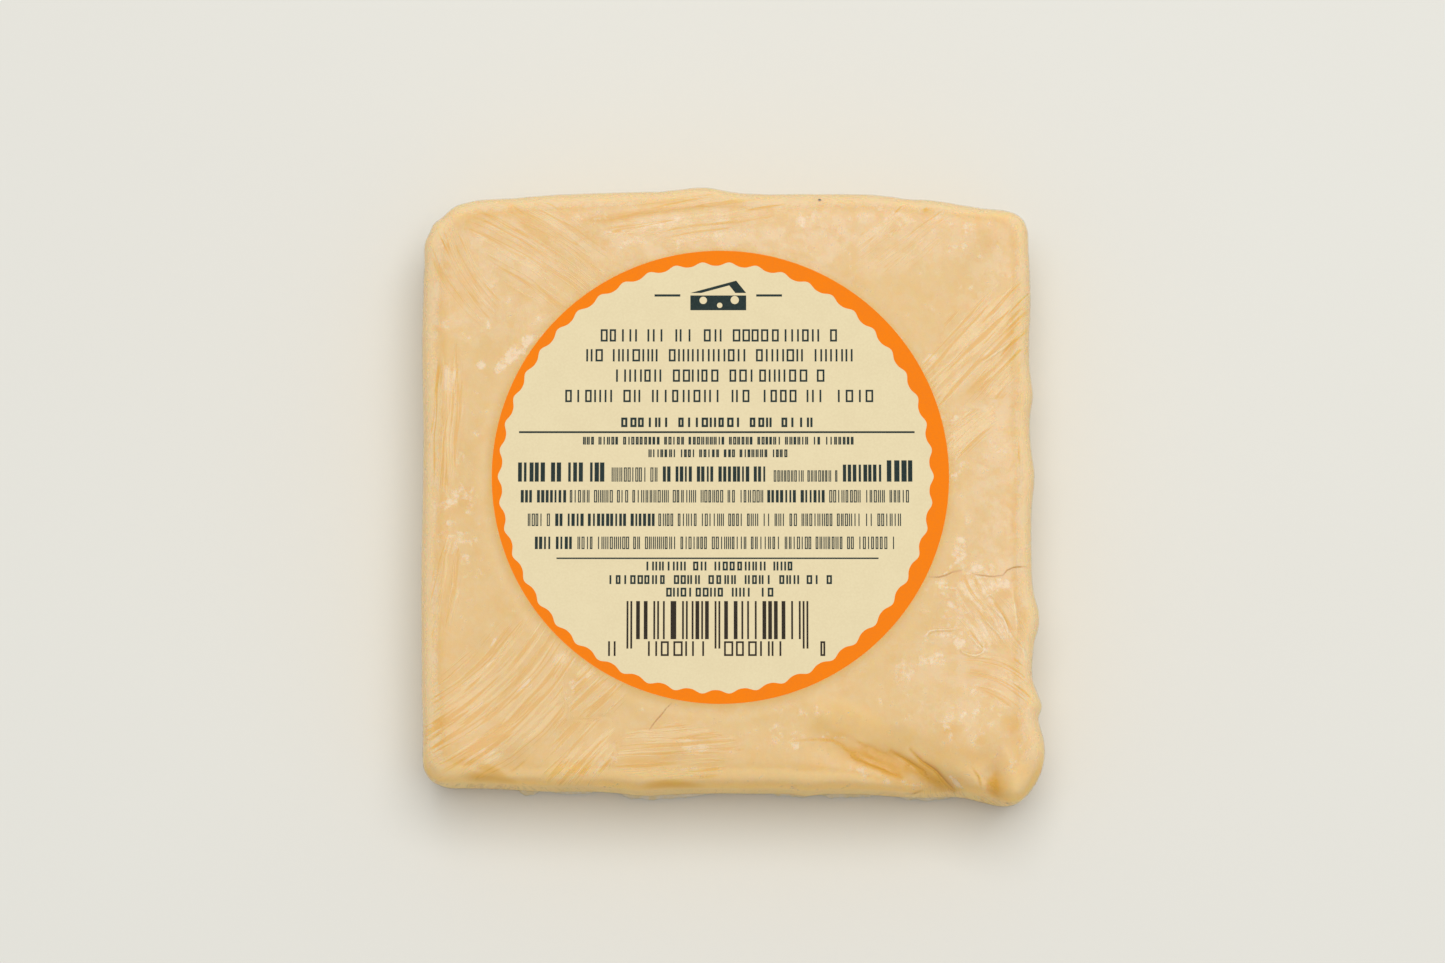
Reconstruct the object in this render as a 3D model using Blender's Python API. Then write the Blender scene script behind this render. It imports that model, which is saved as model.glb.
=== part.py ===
"""A small square block of cheddar, vacuum packed in clear film, with a round paper label on top.

Metres, +Z up. The block lies flat with its label up, +Y points to its back edge, and the origin is
the middle of the overall box at the table. The block's solid is the outer form of the sealed pack.
"""

import math

import bmesh
import bpy
from mathutils import Vector, noise

MM = 0.001

# Driving dimensions of the block.
WIDTH = 84.8 * MM
DEPTH = 83.6 * MM
HEIGHT = 18.5 * MM
TOP_EDGE_RADIUS = 3.4 * MM
FOOT_EDGE_RADIUS = 1.8 * MM
SIDE_BELLY = 0.35 * MM

# Upright corner radii, seen from above: the back left corner is cut well round.
CORNER_RADIUS = {
    ("left", "back"): 9.5 * MM,
    ("right", "back"): 4.6 * MM,
    ("left", "front"): 4.0 * MM,
    ("right", "front"): 3.4 * MM,
}

# The label, a round of paper 2.5 inches across, lies a little left of the block's middle.
LABEL_RADIUS = 31.75 * MM
LABEL_THICKNESS = 0.2 * MM
LABEL_GAP = 0.3 * MM
LABEL_PLACE = (-0.85 * MM, 1.35 * MM)
LABEL_SIDES = 96

# The top is flat under the label, and its relief grows to full height across this ring.
FLAT_MARGIN = 0.8 * MM
RELIEF_MARGIN = 6.0 * MM

# The top's relief fades out down the walls, from the top to this share of the height.
RELIEF_FADE_LEVEL = 0.35

# A side's swell fades out inwards with this power of the place between middle and wall.
SWELL_FADE_POWER = 6

# Swells and dents of the four sides: place along the side, reach outwards, half length.
SIDE_SWELLS = {
    "right": [
        (29.0 * MM, 0.25 * MM, 6.0 * MM),
        (13.5 * MM, 0.70 * MM, 2.2 * MM),
        (1.8 * MM, 0.60 * MM, 3.0 * MM),
        (-18.2 * MM, 1.15 * MM, 2.9 * MM),
        (-29.4 * MM, 1.20 * MM, 1.2 * MM),
        (-36.0 * MM, 1.60 * MM, 4.2 * MM),
    ],
    "left": [
        (22.0 * MM, 0.20 * MM, 10.0 * MM),
        (-36.0 * MM, -0.40 * MM, 10.0 * MM),
    ],
    "back": [
        (-33.0 * MM, -0.60 * MM, 6.0 * MM),
        (-12.0 * MM, 0.40 * MM, 6.0 * MM),
        (-3.4 * MM, 1.00 * MM, 4.2 * MM),
        (25.5 * MM, -0.45 * MM, 3.0 * MM),
        (38.0 * MM, -2.20 * MM, 8.5 * MM),
    ],
    "front": [
        (-36.0 * MM, -0.85 * MM, 9.0 * MM),
        (-20.0 * MM, -0.30 * MM, 6.0 * MM),
        (-12.0 * MM, 0.30 * MM, 3.0 * MM),
        (11.4 * MM, 0.35 * MM, 1.6 * MM),
        (27.0 * MM, 0.55 * MM, 6.0 * MM),
        (39.0 * MM, 1.75 * MM, 4.6 * MM),
    ],
}

# Soft rises and hollows of the top: place x, y, height, radius.
TOP_LUMPS = [
    (35.5 * MM, -33.5 * MM, 0.90 * MM, 6.5 * MM),
    (39.4 * MM, -38.6 * MM, 0.55 * MM, 1.8 * MM),
    (36.6 * MM, -39.4 * MM, -1.00 * MM, 1.5 * MM),
    (-30.0 * MM, -38.6 * MM, -0.60 * MM, 2.2 * MM),
    (-8.0 * MM, -39.8 * MM, -0.35 * MM, 3.0 * MM),
    (-20.0 * MM, -38.6 * MM, 0.25 * MM, 4.0 * MM),
    (38.5 * MM, 30.0 * MM, -0.45 * MM, 6.0 * MM),
    (-38.0 * MM, 36.0 * MM, -0.50 * MM, 6.0 * MM),
    (-15.0 * MM, 38.6 * MM, 0.30 * MM, 6.0 * MM),
]

# The crease in front of the swollen front right corner, from its shallow end to the edge.
CREASE_PATH = [
    (11.5 * MM, -32.8 * MM),
    (17.0 * MM, -35.2 * MM),
    (24.0 * MM, -38.4 * MM),
    (30.6 * MM, -43.0 * MM),
]
CREASE_DEPTHS = [0.0, 1.3 * MM, 1.9 * MM, 2.7 * MM]
CREASE_HALF_WIDTH = 2.4 * MM

# Slow waves all over the top and the sides.
WAVE_HEIGHT = 0.28 * MM
WAVE_LENGTH = 8.0 * MM

# The walls' waves fade out inwards to this share of the way from the middle to the wall.
WALL_WAVE_START = 0.93

# Mesh cells along each direction of the block.
CELLS_ACROSS = 52
CELLS_UP = 9
EDGE_CROWDING = 0.38

# Edges that turn by more than this are drawn sharp.
SHARP_ANGLE = math.radians(50.0)

# Lengths below this count as nothing.
NOTHING = 1e-7

# Colours are scene-linear red, green and blue.
CHEESE_COLOUR = (0.80, 0.52, 0.25)
CHEESE_ROUGHNESS = 0.35
LABEL_COLOUR = (0.81, 0.69, 0.44)
LABEL_ROUGHNESS = 0.7


def remove_objects():
    for old in list(bpy.data.objects):
        bpy.data.objects.remove(old, do_unlink=True)


def plain_material(name, colour, roughness):
    """A Principled material of one colour."""
    material = bpy.data.materials.new(name)
    material.use_nodes = True
    shader = material.node_tree.nodes["Principled BSDF"]
    shader.inputs["Base Color"].default_value = (*colour, 1.0)
    shader.inputs["Roughness"].default_value = roughness
    shader.inputs["Metallic"].default_value = 0.0
    return material


def bump(distance, reach):
    """A bell from 1 at the middle towards 0 past its reach."""
    return math.exp(-((distance / reach) ** 2))


def smooth_step(value, start, end):
    share = min(1.0, max(0.0, (value - start) / (end - start)))
    return share * share * (3.0 - 2.0 * share)


def crowd_to_edges(share):
    """Moves evenly spaced places in -1..1 closer together near both ends."""
    return share * (1.0 + EDGE_CROWDING * (1.0 - share * share))


def plan_point(across, along):
    """Maps the square -1..1 onto the block's plan, each square ring onto a ring with round corners."""
    half = (WIDTH / 2, DEPTH / 2)
    ring = max(abs(across), abs(along))
    sides = ("right" if across > 0 else "left", "back" if along > 0 else "front")
    radius = CORNER_RADIUS[sides] * ring
    place = Vector((across * half[0], along * half[1]))
    straight = Vector(
        (
            max(-(half[0] * ring - radius), min(half[0] * ring - radius, place.x)),
            max(-(half[1] * ring - radius), min(half[1] * ring - radius, place.y)),
        )
    )
    out = place - straight
    if out.length < NOTHING:
        return place
    return straight + out.normalized() * radius


def rounded_edge(inset, rise, radius):
    """Maps a point of a square edge, by its distance in and up from the round's start, onto the round."""
    reach = math.hypot(inset, rise)
    if reach < NOTHING:
        return inset, rise
    return inset * radius / reach, rise * radius / reach


def block_section(ring, height):
    """Rounds the top and foot edges: ring is 1 at the walls, and height runs from 0 to HEIGHT."""
    half = (WIDTH + DEPTH) / 4
    for radius, sign, level in (
        (TOP_EDGE_RADIUS, 1.0, HEIGHT - TOP_EDGE_RADIUS),
        (FOOT_EDGE_RADIUS, -1.0, FOOT_EDGE_RADIUS),
    ):
        out = radius - (1.0 - ring) * half
        rise = sign * (height - level)
        if out > 0.0 and rise > 0.0:
            out, rise = rounded_edge(out, rise, radius)
            return 1.0 - (radius - out) / half, level + sign * rise
    return ring, height


def side_swell(side, place):
    return sum(reach * bump(place - where, half) for where, reach, half in SIDE_SWELLS[side])


def swollen(place, height):
    """Pushes a plan point out by the swells of the sides that it lies near."""
    across = place.x / (WIDTH / 2)
    along = place.y / (DEPTH / 2)
    belly = SIDE_BELLY * math.sin(math.pi * height / HEIGHT)
    pushes = (
        ("right", across, Vector((1, 0)), place.y),
        ("left", -across, Vector((-1, 0)), place.y),
        ("back", along, Vector((0, 1)), place.x),
        ("front", -along, Vector((0, -1)), place.x),
    )
    moved = place.copy()
    for side, nearness, outwards, where in pushes:
        weight = max(0.0, min(1.0, nearness)) ** SWELL_FADE_POWER
        moved += outwards * weight * (side_swell(side, where) + belly)
    return moved


def crease_depth(place):
    """The depth of the crease at a plan point, from the nearest point of its path."""
    depth = 0.0
    for index in range(len(CREASE_PATH) - 1):
        start = Vector(CREASE_PATH[index])
        run = Vector(CREASE_PATH[index + 1]) - start
        share = max(0.0, min(1.0, (place - start).dot(run) / run.length_squared))
        here = CREASE_DEPTHS[index] * (1.0 - share) + CREASE_DEPTHS[index + 1] * share
        distance = (place - start - run * share).length
        depth = max(depth, here * bump(distance, CREASE_HALF_WIDTH))
    return depth


def top_relief(place):
    """How far the top stands above its flat level at a plan point."""
    lumps = sum(
        height * bump((place - Vector((x, y))).length, radius)
        for x, y, height, radius in TOP_LUMPS
    )
    wave = WAVE_HEIGHT * noise.noise(Vector((place.x, place.y, 0.0)) / WAVE_LENGTH)
    from_label = (place - Vector(LABEL_PLACE)).length - LABEL_RADIUS
    share = smooth_step(from_label, FLAT_MARGIN, RELIEF_MARGIN)
    return share * (lumps + wave - crease_depth(place))


def block_point(cube_point):
    """Maps a point of the cube -1..1 onto the block."""
    across, along, up = (crowd_to_edges(value) for value in cube_point)
    ring = max(abs(across), abs(along))
    height = HEIGHT * (up + 1.0) / 2.0
    rounded_ring, rounded_height = block_section(ring, height)
    shrink = rounded_ring / ring if ring > NOTHING else 1.0
    place = swollen(plan_point(across * shrink, along * shrink), rounded_height)
    upper_share = smooth_step(rounded_height, HEIGHT * RELIEF_FADE_LEVEL, HEIGHT)
    rounded_height += upper_share * top_relief(place)
    wall_share = smooth_step(ring, WALL_WAVE_START, 1.0)
    wall_share *= math.sin(math.pi * rounded_height / HEIGHT)
    wave = noise.noise(Vector((place.x, place.y, rounded_height)) / WAVE_LENGTH)
    place += place.normalized() * wall_share * WAVE_HEIGHT * wave
    return Vector((place.x, place.y, rounded_height))


def cut_cube_edges(mesh, axis, cells):
    """Divides every edge that runs along the axis into equal cells."""
    edges = [e for e in mesh.edges if abs((e.verts[0].co - e.verts[1].co)[axis]) > NOTHING]
    bmesh.ops.subdivide_edges(mesh, edges=edges, cuts=cells - 1, use_grid_fill=True)


def merge_flat_faces(mesh):
    """Joins the small faces of the flat foot, and those of the flat under the label, into large ones."""
    for level in (0.0, HEIGHT):
        flat = [f for f in mesh.faces if all(abs(v.co.z - level) < NOTHING for v in f.verts)]
        bmesh.ops.dissolve_faces(mesh, faces=flat)


def make_block():
    mesh = bmesh.new()
    bmesh.ops.create_cube(mesh, size=2.0)
    for axis, cells in enumerate((CELLS_ACROSS, CELLS_ACROSS, CELLS_UP)):
        cut_cube_edges(mesh, axis, cells)
    for vertex in mesh.verts:
        vertex.co = block_point(vertex.co)
    merge_flat_faces(mesh)
    bmesh.ops.recalc_face_normals(mesh, faces=mesh.faces)
    return mesh


def make_label():
    """The label as a thin round slab, flat on the block."""
    mesh = bmesh.new()
    bmesh.ops.create_cone(
        mesh,
        cap_ends=True,
        segments=LABEL_SIDES,
        radius1=LABEL_RADIUS,
        radius2=LABEL_RADIUS,
        depth=LABEL_THICKNESS,
    )
    middle = Vector((*LABEL_PLACE, HEIGHT + LABEL_GAP + LABEL_THICKNESS / 2))
    bmesh.ops.translate(mesh, verts=mesh.verts, vec=middle)
    return mesh


def centring_move(mesh):
    """The move in the plan that puts the middle of the mesh's box over the origin."""
    lows, highs = (
        [pick(v.co[axis] for v in mesh.verts) for axis in range(2)] for pick in (min, max)
    )
    return Vector((-(lows[0] + highs[0]) / 2, -(lows[1] + highs[1]) / 2, 0.0))


def add_object(name, mesh, material, move):
    bmesh.ops.translate(mesh, verts=mesh.verts, vec=move)
    data = bpy.data.meshes.new(name)
    mesh.to_mesh(data)
    mesh.free()
    data.shade_smooth()
    data.set_sharp_from_angle(angle=SHARP_ANGLE)
    data.materials.append(material)
    made = bpy.data.objects.new(name, data)
    bpy.context.scene.collection.objects.link(made)


def main():
    remove_objects()
    block = make_block()
    move = centring_move(block)
    cheese = plain_material("cheese_in_film", CHEESE_COLOUR, CHEESE_ROUGHNESS)
    paper = plain_material("label_paper", LABEL_COLOUR, LABEL_ROUGHNESS)
    add_object("wrapped_cheddar", block, cheese, move)
    add_object("label", make_label(), paper, move)


main()
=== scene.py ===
"""The looks of a small block of cheddar, vacuum packed in clear film, with a round paper label.

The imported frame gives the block's outer form and the label's place. The cheese and the film drawn
tight over it stand for the block's solid, and a paper label with its print stands for the label's.
"""

import math
import random
from collections import namedtuple

import bpy
import numpy as np
from bpy.props import FloatProperty, FloatVectorProperty, IntProperty, PointerProperty
from bpy.types import Operator, Panel, PropertyGroup
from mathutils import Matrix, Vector, noise


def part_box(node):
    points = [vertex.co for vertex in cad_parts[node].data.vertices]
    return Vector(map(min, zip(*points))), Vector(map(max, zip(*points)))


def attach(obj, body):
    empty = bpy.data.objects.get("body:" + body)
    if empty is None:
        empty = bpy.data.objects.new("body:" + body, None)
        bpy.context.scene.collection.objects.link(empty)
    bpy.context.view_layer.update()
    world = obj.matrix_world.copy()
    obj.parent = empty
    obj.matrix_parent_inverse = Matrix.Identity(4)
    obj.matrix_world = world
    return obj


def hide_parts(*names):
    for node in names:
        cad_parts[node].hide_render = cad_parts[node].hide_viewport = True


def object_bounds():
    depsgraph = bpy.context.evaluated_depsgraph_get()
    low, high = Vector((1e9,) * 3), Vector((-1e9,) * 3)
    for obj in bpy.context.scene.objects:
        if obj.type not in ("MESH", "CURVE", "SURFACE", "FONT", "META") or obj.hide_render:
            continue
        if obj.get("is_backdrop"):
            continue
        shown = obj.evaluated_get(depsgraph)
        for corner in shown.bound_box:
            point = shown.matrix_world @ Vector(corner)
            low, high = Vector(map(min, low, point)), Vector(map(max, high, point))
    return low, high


bl_info = {
    "name": "Vacuum packed cheddar",
    "version": (1, 0, 0),
    "blender": (4, 5, 0),
    "location": "3D View > Sidebar > Cheddar",
    "description": "Builds the looks of a small block of cheddar in clear film with a paper label",
    "category": "Object",
}

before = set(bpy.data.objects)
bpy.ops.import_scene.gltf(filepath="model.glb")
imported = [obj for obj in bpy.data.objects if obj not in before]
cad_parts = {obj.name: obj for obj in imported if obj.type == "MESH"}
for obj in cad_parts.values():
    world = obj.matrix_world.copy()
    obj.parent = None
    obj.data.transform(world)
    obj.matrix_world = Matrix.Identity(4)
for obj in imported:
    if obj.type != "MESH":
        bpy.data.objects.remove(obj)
CAD_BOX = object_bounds()

MM = 0.001
BODY = "root"

# The block and its label, from the frame. The CAD label lies a gap above the block's flat top, and here
# the skin rises to a smaller gap under it.
BLOCK_LOW, BLOCK_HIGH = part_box("wrapped_cheddar")
LABEL_LOW, LABEL_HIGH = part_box("label")
LABEL_MIDDLE = (LABEL_LOW + LABEL_HIGH) / 2
LABEL_RADIUS = (LABEL_HIGH.x - LABEL_LOW.x) / 2
LABEL_GAP = 0.3 * MM
TOP_LEVEL = LABEL_LOW.z - LABEL_GAP
SEAT_GAP = 0.04 * MM

# How far outside the label the skin's rise to it starts, and the shallow dip round the label's edge:
# its distance from the edge, its half width and its depth.
SEAT_SLOPE = 7.0 * MM
DIP_AWAY = 0.9 * MM
DIP_HALF_WIDTH = 0.8 * MM
DIP_DEPTH = 0.12 * MM

# The painted shadow in the corner between the label's edge and the skin: its half width.
LABEL_SHADOW_WIDTH = 0.45 * MM

# Making the fine mesh: the distance within which points are one, how its cells are smoothed, the
# height under which the skin belongs to the foot, and in mm how far beside a thin line faces are cut.
SAME_PLACE = 0.001 * MM
SMOOTHING = {"factor": 0.5, "iterations": 10}
FOOT_LEVEL = 0.12 * MM
LINE_MARGIN = 0.5

# Streaky stretches of film on the top: the middle in mm, the streaks' turn from +X in degrees, the
# half length along them and half width across them in mm, their strength, waviness and bend.
StreakPatch = namedtuple("StreakPatch", "x y turn along across strength waves bend")
STREAK_PATCHES = (
    StreakPatch(35.0, 19.0, 47.0, 17.0, 7.5, 1.00, 0.25, 0.0),
    StreakPatch(31.2, 9.0, 43.0, 8.5, 5.0, 0.85, 0.25, 0.3),
    StreakPatch(24.0, 35.5, 38.0, 9.0, 6.0, 0.40, 0.40, 0.0),
    StreakPatch(-26.5, 33.5, -33.0, 15.0, 8.5, 0.50, 0.45, 0.2),
    StreakPatch(-38.0, 31.0, -60.0, 10.0, 5.0, 0.48, 0.40, -0.4),
    StreakPatch(-31.5, -29.5, 43.0, 18.0, 10.0, 1.00, 0.30, -0.4),
    StreakPatch(-18.5, -26.5, 44.0, 8.0, 5.5, 0.95, 0.30, 0.0),
    StreakPatch(-21.0, -37.5, 46.0, 8.0, 5.5, 0.90, 0.35, 0.0),
    StreakPatch(36.0, -18.5, -57.0, 9.0, 5.5, 0.50, 1.10, 0.0),
    StreakPatch(37.5, -26.3, -26.0, 7.0, 4.5, 0.65, 0.35, 0.5),
    StreakPatch(-6.0, 38.4, 9.0, 17.0, 4.5, 0.50, 0.50, 0.0),
    StreakPatch(-8.5, -37.0, 4.0, 11.0, 5.0, 0.75, 0.40, 0.0),
    StreakPatch(-39.8, 10.0, 88.0, 12.0, 3.4, 0.70, 0.40, 0.0),
    StreakPatch(-40.0, -14.0, 80.0, 9.0, 3.0, 0.55, 0.60, 0.0),
    StreakPatch(41.6, 10.0, 91.0, 24.0, 2.2, 0.50, 0.15, 0.0),
)

# What keeps the streaks' patterns apart: the layer from patch to patch and that of the walls, and how
# far the front and the back wall are moved from the sides.
LAYER_STEP = 9.0
WALL_LAYER = 50.0
WALLS_APART = 200.0 * MM

# Soft ovals on the plan: the middle in mm, the turn of the length from +X in degrees, the half length
# and half width in mm, and the amount in the middle.
Oval = namedtuple("Oval", "x y turn along across amount")

# Film that stands clear of the cheese and looks pale.
HAZE_PATCHES = (
    Oval(-29.6, 19.4, 35.0, 4.6, 1.7, 1.00),
    Oval(-32.3, 17.0, 60.0, 1.6, 1.0, 0.80),
    Oval(-39.6, 15.2, 65.0, 3.6, 2.2, 0.95),
    Oval(-40.8, 8.0, 90.0, 7.0, 0.9, 0.70),
    Oval(-35.0, 17.3, 0.0, 1.0, 0.8, 0.90),
    Oval(-39.8, 23.2, 0.0, 0.9, 1.2, 0.80),
    Oval(-33.9, 22.8, 90.0, 1.2, 0.5, 0.80),
    Oval(-27.7, 23.5, 20.0, 2.2, 1.0, 0.55),
    Oval(34.4, -11.4, 30.0, 1.2, 0.8, 0.80),
    Oval(37.1, -13.4, 10.0, 2.0, 1.4, 0.95),
    Oval(33.6, -16.0, -75.0, 9.0, 6.5, 0.55),
    Oval(31.6, -9.0, 90.0, 3.0, 1.6, 1.00),
    Oval(34.6, -13.9, 90.0, 2.0, 0.9, 0.70),
    Oval(31.2, 6.0, 82.0, 7.5, 1.9, 0.50),
    # Painted highlights on the pale ridge below the crease.
    Oval(19.5, -39.5, -25.0, 3.6, 0.7, 0.60),
    Oval(24.8, -41.0, -25.0, 3.0, 0.6, 0.75),
    Oval(31.0, -40.6, -40.0, 1.6, 0.5, 0.90),
    Oval(8.0, -35.0, 0.0, 7.0, 3.5, 0.28),
    Oval(33.0, -31.0, 60.0, 8.0, 5.0, 0.32),
    Oval(-38.0, -4.0, 90.0, 14.0, 3.0, 0.40),
    Oval(-13.0, 36.5, 0.0, 12.0, 3.5, 0.40),
    Oval(20.0, 38.0, 0.0, 16.0, 3.0, 0.40),
    Oval(36.6, -18.6, -57.0, 5.0, 2.6, 0.62),
    Oval(24.6, -24.5, 50.0, 4.0, 2.0, 0.45),
    Oval(38.4, -26.2, -35.0, 3.0, 1.6, 0.55),
    # Painted highlights on the pale ridge below the crease.
    Oval(17.2, -37.2, -30.0, 1.3, 0.8, 0.90),
    Oval(18.0, -39.0, -20.0, 2.6, 0.9, 0.50),
    Oval(26.6, -41.2, -20.0, 2.2, 0.8, 0.80),
    Oval(38.6, -38.8, 40.0, 1.6, 1.1, 0.60),
    Oval(31.4, -21.3, 80.0, 1.8, 1.2, 0.85),
    Oval(27.5, -24.0, 12.0, 3.6, 1.4, 0.72),
    Oval(29.6, -19.6, 20.0, 2.6, 1.8, 0.55),
    Oval(-22.4, -22.7, 42.0, 3.6, 1.2, 0.55),
    Oval(-20.2, -26.0, 44.0, 5.0, 1.6, 0.58),
    Oval(-28.0, -27.2, 0.0, 1.0, 0.8, 0.85),
    Oval(-32.4, -21.6, 40.0, 1.1, 0.9, 0.80),
    Oval(-33.9, -37.2, 10.0, 4.5, 1.6, 0.75),
    Oval(-18.0, -38.5, 20.0, 3.6, 1.1, 0.50),
    Oval(-5.1, -35.7, -10.0, 2.8, 1.4, 1.05),
    Oval(-4.8, -39.4, -6.0, 3.6, 1.0, 0.55),
    Oval(27.5, 17.8, 20.0, 2.0, 1.2, 0.65),
    Oval(28.6, 10.0, 50.0, 3.4, 1.6, 0.55),
    Oval(-1.0, 37.0, 0.0, 5.2, 2.0, 0.50),
    Oval(34.0, 36.0, 25.0, 5.0, 3.0, 0.28),
)

# Painted sheen: stretches painted paler all over, where the film reflects the light.
SHEEN_PATCHES = (
    Oval(4.0, 39.0, 0.0, 48.0, 11.0, 0.90),
    Oval(40.0, 6.0, 90.0, 42.0, 10.0, 0.80),
    Oval(34.0, -27.0, 0.0, 12.0, 12.0, 0.50),
    Oval(-35.0, 31.0, 0.0, 15.0, 12.0, 0.75),
)

# Where the cheese is painted deeper: mostly painted shade in hollows and folds and low on the front, with
# a few deeper spots of its own.
DEEP_AND_SHADE_PATCHES = (
    Oval(36.7, -40.9, 100.0, 2.2, 1.2, 0.50),
    Oval(-7.8, -41.6, -4.0, 5.5, 1.5, 1.00),
    Oval(-33.0, -40.6, -12.0, 5.0, 1.3, 0.85),
    Oval(-33.0, -39.3, -30.0, 3.4, 1.0, 0.70),
    Oval(37.5, -15.2, 60.0, 1.8, 1.4, 0.50),
    Oval(38.5, -32.8, 0.0, 1.9, 1.7, 0.50),
    Oval(30.3, -33.5, 20.0, 1.8, 1.2, 0.40),
    Oval(34.4, -35.0, 20.0, 1.2, 0.9, 0.40),
    Oval(33.7, -26.0, 0.0, 2.0, 1.0, 0.40),
    Oval(16.4, -35.4, -28.0, 4.2, 1.4, 0.40),
    Oval(20.8, -37.6, -28.0, 4.8, 1.7, 0.85),
    Oval(-29.0, -43.6, 0.0, 13.0, 2.6, 0.85),
    Oval(-27.6, 36.2, -40.0, 6.5, 1.0, 0.50),
    Oval(-20.6, 35.9, -24.0, 4.5, 0.9, 0.42),
    Oval(-15.0, 38.5, 8.0, 7.5, 0.9, 0.55),
    Oval(-37.2, 29.0, 0.0, 3.4, 3.0, 0.30),
    Oval(36.2, 17.0, 44.0, 7.5, 0.9, 0.35),
    Oval(-28.9, 26.9, 10.0, 2.0, 1.2, 0.30),
)

# The sunk crease and the hollow beside the bump, where the painted highlight of the rim stops.
CREASE_PATCHES = (
    Oval(24.0, -38.5, -28.0, 14.0, 5.0, 1.00),
    Oval(37.0, -41.0, 100.0, 4.0, 2.4, 1.00),
)

# Painted light: the slope above the crease and the crest of the front edge, painted lighter where the
# light falls on them.
PAINTED_LIGHT_PATCHES = (
    Oval(17.0, -32.4, -28.0, 8.0, 3.0, 0.38),
    Oval(-22.0, -39.6, 0.0, 7.0, 1.6, 0.60),
    Oval(-38.0, -39.6, 0.0, 4.0, 1.6, 0.50),
)

# The ways of the four folds in the crease, in mm.
LEFT_FOLD = ((17.2, -37.3), (18.7, -37.9), (21.1, -38.8), (23.5, -40.0))
MIDDLE_FOLD = ((22.0, -36.4), (24.3, -37.9), (26.0, -39.0), (27.1, -40.1))
LONG_FOLD = ((24.6, -36.2), (26.2, -37.9), (28.1, -39.2), (29.7, -40.9), (31.3, -42.2), (33.2, -43.4))
LOW_FOLD = ((23.6, -42.3), (25.0, -42.2), (26.4, -41.7))

# Thin lines on the top: how far each stands up, its half width and its way, all in mm. Folds and
# cracks are cut in, and ridges of film stand up.
Line = namedtuple("Line", "height half_width points")
FOLDS = (
    Line(-0.22, 0.32, LONG_FOLD),
    Line(-0.16, 0.36, MIDDLE_FOLD),
    Line(-0.14, 0.36, LEFT_FOLD),
    Line(-0.10, 0.18, LOW_FOLD),
    Line(-0.10, 0.50, ((-16.9, 38.1), (-12.7, 39.0), (-8.5, 39.7), (-4.4, 40.2), (1.9, 40.3))),
)
CRACKS = (
    Line(-0.03, 0.09, ((27.3, -12.4), (28.7, -12.4), (29.8, -12.1), (30.6, -11.7), (32.0, -11.4))),
    Line(-0.02, 0.08, ((33.4, -11.9), (34.4, -12.1), (36.1, -12.3), (37.6, -12.1), (38.2, -11.4),
                       (39.1, -11.0), (40.9, -10.8))),
    Line(-0.02, 0.08, ((-8.3, -29.9), (-9.0, -30.6), (-9.6, -31.4), (-10.6, -32.5), (-11.3, -33.5))),
)
RIDGES = (
    Line(0.12, 0.16, ((31.6, -22.2), (31.9, -22.8), (32.6, -23.1), (33.7, -23.3), (34.5, -23.0),
                      (35.2, -22.2))),
    Line(0.09, 0.15, ((26.8, -20.6), (27.4, -19.9), (28.5, -19.7), (30.2, -19.7), (31.4, -19.5))),
    Line(0.10, 0.16, ((40.1, -21.4), (40.5, -22.8), (41.1, -24.3))),
    Line(0.08, 0.20, ((39.0, -14.6), (39.4, -17.8), (39.6, -20.2))),
    Line(0.09, 0.17, ((35.1, -15.8), (36.4, -16.9), (37.6, -18.1), (38.1, -19.3), (38.3, -21.2))),
    Line(0.09, 0.17, ((34.2, -16.9), (35.3, -18.6), (37.0, -20.3), (38.2, -22.0))),
    Line(0.08, 0.17, ((32.6, -20.1), (34.0, -21.8), (35.6, -22.8))),
    Line(0.08, 0.13, ((35.1, -15.6), (35.4, -14.9), (36.1, -14.8), (36.4, -15.4))),
    Line(0.10, 0.20, ((35.0, 17.6), (37.4, 19.4), (40.4, 21.7))),
)
LINES = FOLDS + CRACKS + RIDGES

# Painted shade in the folds: soft painted shade in the cheese, and crisp strokes of painted shade in the
# film.
# Here the height is the share of the painted shade.
SHADES = (
    Line(0.92, 1.40, ((12.4, -33.6), (16.0, -36.0), (19.0, -37.5), (21.2, -38.5), (23.4, -39.6))),
    Line(0.80, 0.80, ((19.5, -36.0), (23.0, -37.6), (26.0, -39.4), (28.6, -41.0), (31.0, -42.4))),
    Line(0.80, 0.65, LEFT_FOLD),
    Line(0.80, 0.70, MIDDLE_FOLD),
    Line(0.80, 0.70, LONG_FOLD[1:]),
    Line(0.55, 0.90, ((26.4, -41.2), (28.4, -41.5), (30.6, -42.2), (33.0, -43.2))),
    Line(0.80, 0.75, ((36.1, -39.3), (36.3, -41.0), (37.0, -42.4), (38.4, -43.6))),
    Line(0.40, 0.80, ((30.0, -36.0), (32.5, -36.4), (34.6, -37.6))),
)
SHADE_STROKES = (
    Line(0.55, 0.22, ((8.3, -35.1), (10.9, -34.9), (13.8, -34.9), (15.3, -35.7), (17.4, -37.6))),
    Line(0.80, 0.28, LEFT_FOLD),
    Line(0.80, 0.26, MIDDLE_FOLD),
    Line(0.95, 0.22, LONG_FOLD),
    Line(0.85, 0.17, LOW_FOLD),
    Line(0.40, 0.20, ((33.0, -38.6), (34.0, -40.0), (34.4, -41.4))),
    Line(0.30, 0.26, ((16.6, -34.7), (19.0, -35.9), (21.2, -36.9), (23.0, -38.2))),
    Line(0.55, 0.80, ((36.2, -39.8), (35.9, -41.2), (36.6, -42.5))),
    Line(0.40, 1.30, ((15.5, -35.8), (18.5, -37.3), (21.5, -38.4), (24.0, -39.4))),
    Line(0.38, 0.80, ((22.0, -36.8), (25.5, -38.8), (28.8, -40.8), (31.5, -42.4))),
)

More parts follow.
